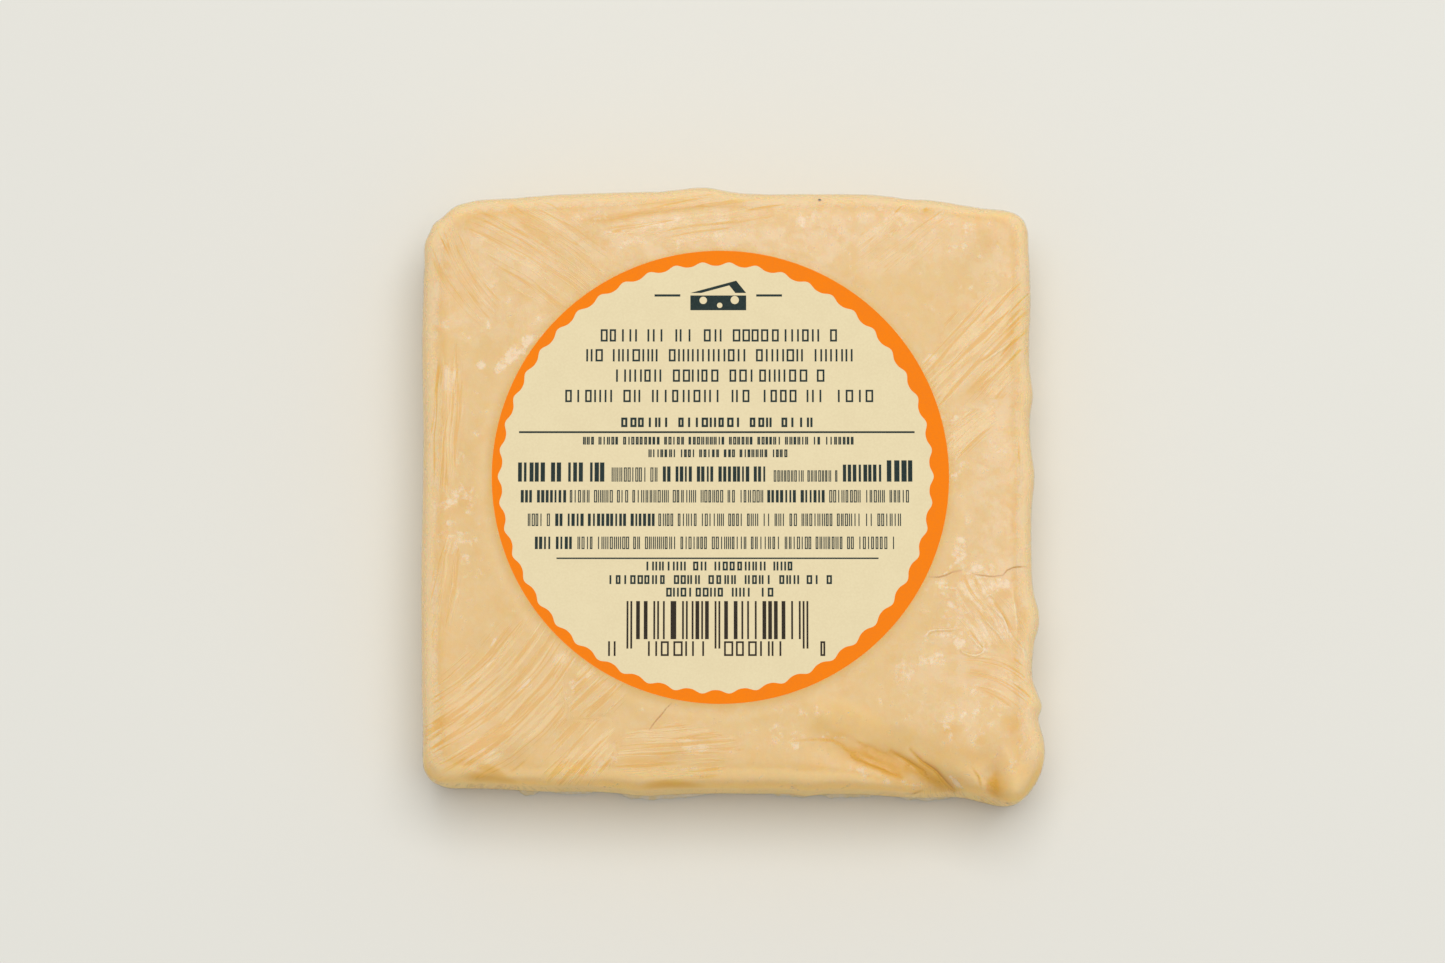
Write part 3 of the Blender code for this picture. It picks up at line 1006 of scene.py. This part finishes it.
def film_material(settings):
    """Clear film: hardly seen where it clings, pale where it stands clear, with painted glints on streak
    crests, painted shade in furrows and folds, and a painted sheen.
    """
    material, tree, shader = new_material("clear film")
    place = object_coordinates(tree)
    streaks = streaks_of(tree)
    even = rest_of(tree, attribute(tree, "side"))
    broken = broken_haze(tree, place, streaks)
    stand = add(tree, multiply(tree, broken, 1.8), multiply(tree, attribute(tree, "haze"), 0.40))
    haze = remap(tree, stand, 1.04, 1.34, 0.0, settings.haze)
    # Painted glints on the streak crests, partly film standing clear.
    crest = multiply(tree, streaks["CrestGlintAndHaze"], 0.26)
    painted_sheen = add(tree, film_painted_sheen(tree, place, streaks, even, settings), settings.clear)
    furrow = multiply(tree, streaks["Furrow"], 0.24)
    stroke = multiply(tree, attribute(tree, "stroke"), remap(tree, broken, 0.35, 0.55, 0.7, 1.0))
    crack = multiply(tree, attribute(tree, "crack"), remap(tree, broken, 0.40, 0.60, 0.15, 0.85))
    seen = rest_of(tree, haze)
    for cover in (crest, painted_sheen, furrow, stroke, crack):
        seen = multiply(tree, seen, rest_of(tree, cover))
    layers = (
        (streaks["CrestGlintAndHaze"], settings.edge),
        (remap(tree, furrow, 0.0, 0.10), settings.furrow),
        (remap(tree, stroke, 0.0, 0.25), settings.shade),
        (remap(tree, crack, 0.0, 0.30), settings.crack),
    )
    crinkle = multiply(tree, noise_texture(tree, place, 1100.0, detail=3.0), even)
    height = add(tree, streaks["Height"], multiply(tree, crinkle, 0.3))
    fill(tree, shader, {
        "Base Color": layered_colour(tree, settings.tint, layers),
        "Alpha": rest_of(tree, seen),
        "Normal": bump_normal(tree, height, SKIN_BUMP),
        "Roughness": 0.30,
        "Specular IOR Level": 0.6,
    })
    return material


def broken_haze(tree, place, streaks):
    """The broken pattern of the pale film, drawn out along the streaks where they are strong."""
    broken = noise_texture(tree, place, 620.0, detail=6.0, roughness=0.7)
    along = multiply(tree, attribute(tree, "streak"), 0.8)
    apart = calculate(tree, "SUBTRACT", streaks["Grain"], broken)
    return add(tree, broken, multiply(tree, apart, along))


def film_painted_sheen(tree, place, streaks, even, settings):
    """The film's painted sheen, which comes and goes in clouds, and is open in the furrows."""
    cloud = noise_texture(tree, place, 330.0, detail=6.0, roughness=0.66)
    patchy = add(tree, multiply(tree, remap(tree, cloud, 0.38, 0.62, -0.6, 0.4), even), 1.0)
    painted_sheen = multiply(tree, multiply(tree, patchy, attribute(tree, "painted_sheen")), settings.painted_sheen)
    return multiply(tree, painted_sheen, rest_of(tree, streaks["Furrow"]))


def lip_material(settings):
    """The film's own edge, where it is several layers thick and pale."""
    material, tree, shader = new_material("film edge")
    tone = noise_texture(tree, object_coordinates(tree), 900.0, detail=4.0)
    colour = layered_colour(tree, settings.edge, ((remap(tree, tone, 0.35, 0.65), settings.tint),))
    fill(tree, shader, {"Base Color": colour, "Roughness": 0.4})
    return material


def paper_material(name, colour, shade_colour, amount):
    """Printed or bare label paper with its grain."""
    material, tree, shader = new_material(name)
    inputs = {"Coordinates": object_coordinates(tree), "Amount": amount}
    grain = use_group(tree, paper_grain_group(), inputs).outputs
    fill(tree, shader, {
        "Base Color": layered_colour(tree, colour, ((grain["Shade"], shade_colour),)),
        "Normal": bump_normal(tree, grain["Height"], PAPER_BUMP, strength=0.35),
        "Roughness": 0.7,
        "Specular IOR Level": 0.08,
    })
    return material


# Building the label.


def scallop_radius(settings, angle):
    """The radius of the cream field, whose wavy edge has rather narrow tips and wide troughs."""
    wave = (0.5 + 0.5 * math.cos(settings.scallops * angle)) ** 1.4
    return settings.field_radius + settings.scallop_height * (wave - 0.45)


def field_middle(settings):
    """The middle of the cream field, at the foot of the paper."""
    shift = settings.print_shift
    return Vector((LABEL_MIDDLE.x + shift[0], LABEL_MIDDLE.y + shift[1], LABEL_LOW.z))


def ring_round(piece, steps, place_of):
    """Extrudes the selected rim inwards and puts the new rim's vertices on a closed line."""
    bpy.ops.mesh.extrude_edges_move()
    close_edit()
    mesh = piece.data
    chosen = [vertex for vertex in mesh.vertices if vertex.select]
    for vertex in chosen:
        angle = math.atan2(vertex.co.y - LABEL_MIDDLE.y, vertex.co.x - LABEL_MIDDLE.x)
        step = round(angle / math.tau * steps)
        vertex.co = place_of(math.tau * step / steps)
    bpy.ops.object.mode_set(mode="EDIT")


def print_marks(row, seed):
    """Yields the strokes of a row's marks as left, middle level, width and height, in mm."""
    draw = random.Random(seed)
    place = row.left
    left_in_word = draw.randint(*WORD_MARKS)
    while place + row.step * 0.6 < row.right:
        width = row.step * draw.uniform(0.62, 0.78)
        form = draw.random()
        if form < 0.22:
            yield place + width / 2 - row.stroke / 2, row.y, row.stroke, row.height
        else:
            yield place, row.y, row.stroke, row.height
            yield place + width - row.stroke, row.y, row.stroke, row.height
        if form > 0.62:
            inner = width - 2 * row.stroke
            for end in (-1, 1):
                level = row.y + end * (row.height - row.stroke) / 2
                yield place + row.stroke, level, inner, row.stroke
        place += row.step * draw.uniform(0.9, 1.1)
        left_in_word -= 1
        if left_in_word == 0:
            place += 0.8 * row.step
            left_in_word = draw.randint(*WORD_MARKS)


def code_bars():
    """Yields each bar of the striped code: its first module, its width in modules, and if it's a guard."""
    draw = random.Random(CODE_SEED)
    place = 0
    while place < CODE_MODULES:
        guard = next((g for g in CODE_GUARDS if g[0] <= place < g[1]), None)
        if guard:
            first = place + 1 if guard == MIDDLE_GUARD else place
            yield first, 1, True
            yield first + 2, 1, True
            place = guard[1]
            continue
        next_guard = min(g[0] for g in CODE_GUARDS if g[0] > place)
        space = draw.randint(1, 3)
        width = min(draw.randint(1, 4) if draw.random() < 0.4 else draw.randint(1, 2), 3)
        if place + space + width < next_guard:
            yield place + space, width, False
            place += space + width
        else:
            place = next_guard


# The operators, one for each piece and one for the stage.


class CHEDDAR_OT_cheese(Operator):
    """Builds the cheese under the film"""

    bl_idname = "cheddar.cheese"
    bl_label = "Cheese"
    bl_options = {"REGISTER", "UNDO"}

    def execute(self, context):
        settings = context.scene.cheddar_cheese
        piece = merged_copy("cheese", "wrapped_cheddar")
        apply_modifier(piece, "REMESH", mode="VOXEL", voxel_size=settings.cell, use_smooth_shade=True)
        apply_modifier(piece, "SMOOTH", **SMOOTHING)
        join_foot(piece)
        refine_beside_lines(piece, settings.cell_cuts)
        self.shape(piece.data, settings)
        self.add_grain(piece)
        piece.data.materials.append(cheese_material(settings))
        piece.data.materials.append(grain_material())
        select_only(piece)
        bpy.ops.object.shade_smooth()
        finished(piece, "cheese_in_film", "wrapped_cheddar")
        return {"FINISHED"}

    def shape(self, mesh, settings):
        """Works the skin's relief into the mesh, and stores what the materials read at each vertex."""
        points = vertex_points(mesh)
        normals = vertex_normals(mesh)
        self.points = points
        self.level = points[:, 2].copy()
        self.plan = points[:, :2] / MM
        self.tilt = 1.0 - normals[:, 2]
        self.top = top_share(points)
        self.front = smooth_step(-points[:, 1], 0.80 * -BLOCK_LOW.y, 0.93 * -BLOCK_LOW.y)
        self.mottled = 0.90 + 0.25 * noise_at(points, 6.0 * MM, 47.0)
        self.off_crease = 1.0 - patch_cover(self.plan, CREASE_PATCHES)
        flow, streak = streak_fields(points, self.tilt)
        keep_vector(mesh, "flow", flow)
        deep_and_shade = self.deep_and_shade()
        wall_shade = self.wall_shade()
        values = {
            "streak": streak,
            "haze": self.haze(),
            "painted_sheen": self.painted_sheen(deep_and_shade, wall_shade),
            "deep_and_shade": deep_and_shade,
            "wall_shade": wall_shade,
            "side": self.side(),
            "crack": strongest_line(self.plan, CRACKS) * self.top,
            "stroke": self.stroke(),
        }
        for name, value in values.items():
            keep_value(mesh, name, value)
        relief = skin_relief(points, settings, flow, streak)
        above_foot = smooth_step(self.level, 0.0, FOOT_EDGE)[:, None]
        points += normals * (relief[:, None] * above_foot)
        seat_label(points, SEAT_GAP)
        points -= normals * settings.inset * above_foot
        move_vertices(mesh, points)

    def deep_and_shade(self):
        """The share of painted shade in folds and hollows, round the label and along the front foot."""
        upright = smooth_step(self.tilt, 0.45, 0.85)
        uneven = np.clip(0.85 + 0.6 * noise_at(self.points, 4.0 * MM, 31.0), 0.0, 1.0)
        left = np.ones(len(self.points))
        # Painted shade in the folds of the crease.
        for line in SHADES:
            shade = line.height * line_cover(self.plan, line) * uneven
            left *= 1.0 - shade * (1.0 - 0.8 * upright)
        left *= 1.0 - np.minimum(patch_cover(self.plan, DEEP_AND_SHADE_PATCHES), 1.0) * (1.0 - 0.9 * upright)
        # A painted shadow along the label's edge, which casts none of its own, and painted shade along the
        # front foot.
        edge = np.exp(-((label_distance(self.points) - LABEL_RADIUS) / LABEL_SHADOW_WIDTH) ** 2) * self.top
        foot = FOOT_SHADE_SHARE * self.front * self.mottled * (1.0 - smooth_step(self.level, 1.2 * MM, 5.0 * MM))
        deep_and_shade = (1.0 - left) * outside_label(self.points)
        return np.maximum(np.maximum(deep_and_shade, LABEL_SHADOW_SHARE * edge), foot)

    def wall_shade(self):
        """The share of painted shade in the wall's colour: all over the front wall, and low on the others.
        """
        low = LOW_WALL_SHADE_SHARE * (1.0 - smooth_step(self.level, 1.0 * MM, 0.95 * BLOCK_HIGH.z))
        front = FRONT_WALL_SHADE_SHARE * smooth_step(self.tilt, 0.25, 0.70) * self.front * self.mottled
        return np.clip(np.maximum(low, front), 0.0, 1.0)

    def side(self):
        """The share of painted light round the upper edges, on the lit slopes of the top and on the
        front's crest.
        """
        crest = smooth_step(self.tilt, 0.01, 0.08) * (1.0 - smooth_step(self.tilt, 0.15, 0.45))
        crest *= self.front
        crest *= CREST_LIGHT_SHARE * self.off_crease
        slope = np.maximum(patch_cover(self.plan, PAINTED_LIGHT_PATCHES), crest)
        return np.maximum(RIM_LIGHT_SHARE * smooth_step(self.tilt, 0.004, 0.22) * (1.0 - self.front), slope)

    def haze(self):
        """How far the film stands clear: in patches, along its ridges and at the front foot."""
        ridge = strongest_line(self.plan, RIDGES) * self.top
        foot = FOOT_HAZE_SHARE * self.front * (1.0 - smooth_step(self.level, 0.4 * MM, 2.6 * MM))
        haze = np.maximum(np.maximum(patch_cover(self.plan, HAZE_PATCHES) * self.top, ridge), foot)
        return haze * outside_label(self.points)

    def painted_sheen(self, deep_and_shade, wall_shade):
        """Painted sheen: strongest in the sheen patches, and a painted highlight round the rim of the top.
        """
        x, y = self.points[:, 0], self.points[:, 1]
        reach = np.maximum(np.abs(x) / BLOCK_HIGH.x, np.abs(y) / BLOCK_HIGH.y)
        rim = smooth_step(self.tilt, 0.01, 0.06) * smooth_step(reach, 0.86, 0.92)
        rim *= 1.0 - 0.7 * self.front
        rim *= 1.0 - smooth_step(self.tilt, 0.15, 0.55) * (0.4 + 0.5 * self.front)
        rim *= self.off_crease * (1.0 - 0.75 * smooth_step(self.tilt, 0.45, 0.90))
        pale = np.maximum(patch_cover(self.plan, SHEEN_PATCHES) ** 0.7, 2.0 * rim)
        return (0.25 + 0.75 * pale) * (1.0 - deep_and_shade) * np.clip(1.0 - 1.2 * wall_shade, 0.0, 1.0)

    def stroke(self):
        """The share of painted shade in the film's crisp strokes along the folds, which stay on the top.
        """
        left = np.ones(len(self.points))
        for line in SHADE_STROKES:
            left *= 1.0 - line.height * line_cover(self.plan, line)
        return (1.0 - left) * smooth_step(self.level, 0.62 * BLOCK_HIGH.z, 0.84 * BLOCK_HIGH.z)

    def add_grain(self, piece):
        """Lays a dark grain on the cheese near the back edge."""
        points = vertex_points(piece.data)
        x, y = GRAIN_PLACE[0] * MM, GRAIN_PLACE[1] * MM
        away = np.hypot(points[:, 0] - x, points[:, 1] - y)
        below_top = points[:, 2] < 0.5 * BLOCK_HIGH.z
        level = points[int(np.argmin(away + below_top)), 2]
        edit(piece)
        bpy.ops.mesh.primitive_ico_sphere_add(
            subdivisions=2, radius=GRAIN_RADIUS * MM, location=(x, y, level), scale=GRAIN_FORM
        )
        close_edit()
        for face in piece.data.polygons:
            if face.select:
                face.material_index = 1


class CHEDDAR_OT_film(Operator):
    """Draws the clear film over the cheese"""

    bl_idname = "cheddar.film"
    bl_label = "Film"
    bl_options = {"REGISTER", "UNDO"}

    def execute(self, context):
        settings = context.scene.cheddar_film
        piece = bpy.data.objects.new("film", built("cheese").data.copy())
        context.scene.collection.objects.link(piece)
        edit_faces(piece, [face.material_index == 1 for face in piece.data.polygons])
        bpy.ops.mesh.delete(type="FACE")
        close_edit()
        piece.data.materials.clear()
        points = vertex_points(piece.data)
        above_foot = smooth_step(points[:, 2], 0.0, FOOT_EDGE)[:, None]
        move_vertices(piece.data, points + vertex_normals(piece.data) * settings.lift * above_foot)
        piece.data.materials.append(film_material(settings))
        piece.visible_shadow = False
        finished(piece, "cheese_in_film", "wrapped_cheddar")
        return {"FINISHED"}


class CHEDDAR_OT_film_lip(Operator):
    """Adds the thin ragged edge of the film along the front foot"""

    bl_idname = "cheddar.film_lip"
    bl_label = "Film lip"
    bl_options = {"REGISTER", "UNDO"}

    def execute(self, context):
        points = vertex_points(built("film").data)
        self.front = points[points[:, 1] < 0.8 * BLOCK_LOW.y]
        strips = [self.strip(*lip) for lip in LIPS]
        select_only(strips[0])
        for strip in strips:
            strip.select_set(True)
        bpy.ops.object.join()
        piece = strips[0]
        piece.name = "film_lip"
        apply_modifier(piece, "SOLIDIFY", thickness=LIP_THICKNESS * MM, offset=0.0)
        piece.data.materials.append(lip_material(context.scene.cheddar_film))
        select_only(piece)
        bpy.ops.object.shade_smooth()
        finished(piece, "cheese_in_film")
        return {"FINISHED"}

    def strip(self, middle, half_width, reach):
        """One stretch: a grid whose inner row lies in the skin and whose outer row is ragged."""
        steps = round(2 * half_width / LIP_STEP)
        bpy.ops.object.select_all(action="DESELECT")
        bpy.ops.mesh.primitive_grid_add(x_subdivisions=steps, y_subdivisions=3, size=2.0)
        strip = bpy.context.object
        for vertex in strip.data.vertices:
            across, along = vertex.co.y, vertex.co.x
            x = middle + half_width * along
            taper = 1.0 - along ** 2
            ragged = noise.noise((x / 0.45, 2.0, 0.0)) + 1.3 * noise.noise((x / 1.5, 5.0, 0.0))
            out = reach + 0.16 * ragged - 1.2 * (1.0 - taper) ** 2
            share = (1.0 - across) / 2.0
            y = self.outline(x) / MM + LIP_BURIED - share * (LIP_BURIED + out)
            lift = 0.1 * noise.noise((x / 0.7, y / 0.7, 9.0))
            vertex.co = (x * MM, y * MM, (LIP_HEIGHT - LIP_FALL * share + lift) * MM)
        return strip

    def outline(self, x):
        """How far forward the pack reaches beside a place along the front."""
        beside = np.abs(self.front[:, 0] / MM - x) < 0.5
        return float(self.front[beside, 1].min())


class CHEDDAR_OT_label_paper(Operator):
    """Builds the round paper label with its scalloped border"""

    bl_idname = "cheddar.label_paper"
    bl_label = "Label paper"
    bl_options = {"REGISTER", "UNDO"}

    def execute(self, context):
        settings = context.scene.cheddar_label
        steps = settings.scallops * settings.scallop_steps
        middle = field_middle(settings)
        bpy.ops.object.select_all(action="DESELECT")
        bpy.ops.mesh.primitive_circle_add(
            vertices=steps, radius=LABEL_RADIUS, fill_type="NOTHING",
            location=(LABEL_MIDDLE.x, LABEL_MIDDLE.y, LABEL_LOW.z)
        )
        piece = bpy.context.object
        piece.name = "label_paper"
        bpy.ops.object.transform_apply(location=True, rotation=True, scale=True)
        edit(piece, "EDGE")
        bpy.ops.mesh.select_all(action="SELECT")
        ring_round(piece, steps, lambda angle: self.scallop_place(settings, middle, angle))
        bpy.ops.mesh.edge_face_add()
        bpy.ops.mesh.select_all(action="SELECT")
        bpy.ops.mesh.normals_make_consistent(inside=False)
        close_edit()
        field = max(piece.data.polygons, key=lambda face: face.area)
        if field.normal.z < 0.0:
            piece.data.flip_normals()
        for face in piece.data.polygons:
            face.material_index = 0 if len(face.vertices) > 4 else 1
        piece.data.materials.append(paper_material("cream paper", settings.paper, PAPER_SHADE, 0.5))
        piece.data.materials.append(paper_material("orange print", settings.border, BORDER_SHADE, 0.5))
        thickness = LABEL_HIGH.z - LABEL_LOW.z
        apply_modifier(piece, "SOLIDIFY", thickness=thickness, offset=1.0, material_offset_rim=-1)
        # The label casts no shadow on the cheese; its shadow is painted round its edge instead.
        piece.visible_shadow = False
        piece.visible_diffuse = False
        finished(piece, "label_paper", "label")
        return {"FINISHED"}

    def scallop_place(self, settings, middle, angle):
        radius = scallop_radius(settings, angle)
        return middle + Vector((radius * math.cos(angle), radius * math.sin(angle), 0.0))


class CHEDDAR_OT_label_print(Operator):
    """Prints plain marks, ruled lines and a striped code on the label"""

    bl_idname = "cheddar.label_print"
    bl_label = "Label print"
    bl_options = {"REGISTER", "UNDO"}

    def execute(self, context):
        settings = context.scene.cheddar_label
        built("label_paper")
        mesh = bpy.data.meshes.new("label_print")
        piece = bpy.data.objects.new("label_print", mesh)
        context.scene.collection.objects.link(piece)
        self.low = LABEL_HIGH.z - INK_SUNK
        self.high = LABEL_HIGH.z + settings.ink_height
        self.step = settings.ink_height / 2
        edit(piece)
        for seed, row in enumerate(PRINT_ROWS, 1):
            for left, level, width, height in print_marks(row, seed):
                self.slab(left + width / 2, level, width, height)
        for level, left, right, thickness in RULES:
            self.slab((left + right) / 2, level, right - left, thickness)
        for first, width, guard in code_bars():
            foot = CODE_GUARD_FOOT if guard else CODE_FOOT
            left = CODE_LEFT + first * CODE_MODULE
            self.slab(left + width * CODE_MODULE / 2, (CODE_TOP + foot) / 2, width * CODE_MODULE,
                      CODE_TOP - foot)
        self.slab(*WEDGE_SIDE)
        self.add_wedge_top()
        for x, y, radius in WEDGE_HOLES:
            self.add_hole(x, y, radius)
        close_edit()
        self.pick_inks(mesh)
        mesh.materials.append(paper_material("dark ink", settings.ink, INK_SHADE, 0.6))
        mesh.materials.append(paper_material("code ink", settings.code_ink, CODE_INK_SHADE, 0.6))
        mesh.materials.append(paper_material("cream holes", settings.paper, PAPER_SHADE, 0.5))
        piece.visible_shadow = False
        piece.visible_diffuse = False
        finished(piece, "label_paper")
        return {"FINISHED"}

    def add_wedge_top(self):
        """The wedge's top is a flat three-sided block."""
        bpy.ops.mesh.primitive_circle_add(vertices=3, fill_type="NGON", location=(0.0, 0.0, self.low))
        bpy.ops.mesh.extrude_region_move()
        close_edit()
        mesh = bpy.context.object.data
        new = mesh.vertices[-6:]
        for index, vertex in enumerate(new):
            x, y = WEDGE_TOP[index % 3]
            level = self.low if index < 3 else self.high
            vertex.co = (LABEL_MIDDLE.x + x * MM, LABEL_MIDDLE.y + y * MM, level)
        bpy.ops.object.mode_set(mode="EDIT")
        bpy.ops.mesh.select_all(action="SELECT")
        bpy.ops.mesh.normals_make_consistent(inside=False)

    def add_hole(self, x, y, radius):
        """A round spot of paper colour on the wedge."""
        place = (LABEL_MIDDLE.x + x * MM, LABEL_MIDDLE.y + y * MM, (self.low + self.high) / 2 + self.step)
        bpy.ops.mesh.primitive_cylinder_add(
            vertices=24, radius=radius * MM, depth=self.high - self.low, location=place
        )

    def pick_inks(self, mesh):
        """The striped code has a browner ink, and what stands highest is paper colour."""
        code_top = LABEL_MIDDLE.y + (CODE_TOP + 0.1) * MM
        for face in mesh.polygons:
            if face.center.y < code_top:
                face.material_index = 1
            if max(mesh.vertices[index].co.z for index in face.vertices) > self.high + 0.5 * self.step:
                face.material_index = 2

    def slab(self, x, y, width, height):
        """One block of ink, given by its middle and its sizes in mm from the label's middle."""
        bpy.ops.mesh.primitive_cube_add(
            size=1.0,
            location=(LABEL_MIDDLE.x + x * MM, LABEL_MIDDLE.y + y * MM, (self.low + self.high) / 2),
            scale=(width * MM, height * MM, self.high - self.low),
        )


class CHEDDAR_OT_stage(Operator):
    """Sets up the floor, the light and the camera"""

    bl_idname = "cheddar.stage"
    bl_label = "Stage"
    bl_options = {"REGISTER", "UNDO"}

    def execute(self, context):
        settings = context.scene.cheddar_stage
        self.add_floor(settings)
        self.add_light("key", KEY_PLACE, KEY_SIDE, settings.key)
        self.set_sky(context.scene, settings.sky)
        self.add_camera(context.scene, settings)
        context.scene.view_settings.view_transform = "Standard"
        return {"FINISHED"}

    def add_floor(self, settings):
        bpy.ops.object.select_all(action="DESELECT")
        bpy.ops.mesh.primitive_plane_add(size=FLOOR_SIDE, location=(0.0, 0.0, 0.0))
        floor = bpy.context.object
        floor.name = "floor"
        material, tree, shader = new_material("pale floor")
        tone = noise_texture(tree, object_coordinates(tree), 9.0, detail=3.0)
        layers = ((remap(tree, tone, 0.3, 0.7, 0.0, 0.35), FLOOR_SHADE),)
        colour = layered_colour(tree, settings.floor, layers)
        fill(tree, shader, {"Base Color": colour, "Roughness": 0.7, "Specular IOR Level": 0.15})
        floor.data.materials.append(material)
        floor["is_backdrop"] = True

    def add_light(self, name, place, size, power):
        """A square light that faces the block."""
        bpy.ops.object.light_add(type="AREA", location=place)
        light = bpy.context.object
        light.name = name
        light.data.size = size
        light.data.energy = power
        light.rotation_euler = (-Vector(place)).to_track_quat("-Z", "Y").to_euler()

    def set_sky(self, scene, strength):
        world = bpy.data.worlds.new("even light")
        world.use_nodes = True
        background = world.node_tree.nodes["Background"]
        background.inputs["Color"].default_value = (1.0, 1.0, 1.0, 1.0)
        background.inputs["Strength"].default_value = strength
        scene.world = world

    def add_camera(self, scene, settings):
        target = Vector((LABEL_MIDDLE.x, LABEL_MIDDLE.y, LABEL_HIGH.z)) + Vector(settings.target_shift)
        back = Vector((0.0, -math.cos(settings.elevation), math.sin(settings.elevation)))
        bpy.ops.object.camera_add(
            location=target + back * settings.distance,
            rotation=(math.pi / 2 - settings.elevation, 0.0, 0.0),
        )
        camera = bpy.context.object
        camera.name = "camera"
        camera.data.sensor_width = 36.0
        camera.data.lens = settings.lens
        scene.camera = camera


class CHEDDAR_PT_panel(Panel):
    """Lists the pieces of the pack"""

    bl_idname = "CHEDDAR_PT_panel"
    bl_label = "Cheddar"
    bl_space_type = "VIEW_3D"
    bl_region_type = "UI"
    bl_category = "Cheddar"

    def draw(self, context):
        for name, operators in PANEL_ROWS:
            box = self.layout.box()
            for operator in operators:
                box.operator(operator)
            settings = getattr(context.scene, name)
            for key in settings.__annotations__:
                box.prop(settings, key)


PANEL_ROWS = (
    ("cheddar_cheese", ("cheddar.cheese",)),
    ("cheddar_film", ("cheddar.film", "cheddar.film_lip")),
    ("cheddar_label", ("cheddar.label_paper", "cheddar.label_print")),
    ("cheddar_stage", ("cheddar.stage",)),
)
SETTINGS = {
    "cheddar_cheese": CheeseSettings,
    "cheddar_film": FilmSettings,
    "cheddar_label": LabelSettings,
    "cheddar_stage": StageSettings,
}
CLASSES = (
    *SETTINGS.values(),
    CHEDDAR_OT_cheese,
    CHEDDAR_OT_film,
    CHEDDAR_OT_film_lip,
    CHEDDAR_OT_label_paper,
    CHEDDAR_OT_label_print,
    CHEDDAR_OT_stage,
    CHEDDAR_PT_panel,
)


def register():
    for kind in CLASSES:
        bpy.utils.register_class(kind)
    for name, group in SETTINGS.items():
        setattr(bpy.types.Scene, name, PointerProperty(type=group))


def unregister():
    for name in SETTINGS:
        delattr(bpy.types.Scene, name)
    for kind in reversed(CLASSES):
        bpy.utils.unregister_class(kind)


def write_sizes():
    """Works out the CAD model's box and the visual model's box as lists of numbers."""
    boxes = {"cad": CAD_BOX, "visual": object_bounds()}
    lists = {name: [[float(value) for value in corner] for corner in box] for name, box in boxes.items()}


def main():
    register()
    bpy.ops.cheddar.cheese()
    bpy.ops.cheddar.film()
    bpy.ops.cheddar.film_lip()
    bpy.ops.cheddar.label_paper()
    bpy.ops.cheddar.label_print()
    bpy.ops.cheddar.stage()
    write_sizes()


if __name__ == "__main__":
    main()
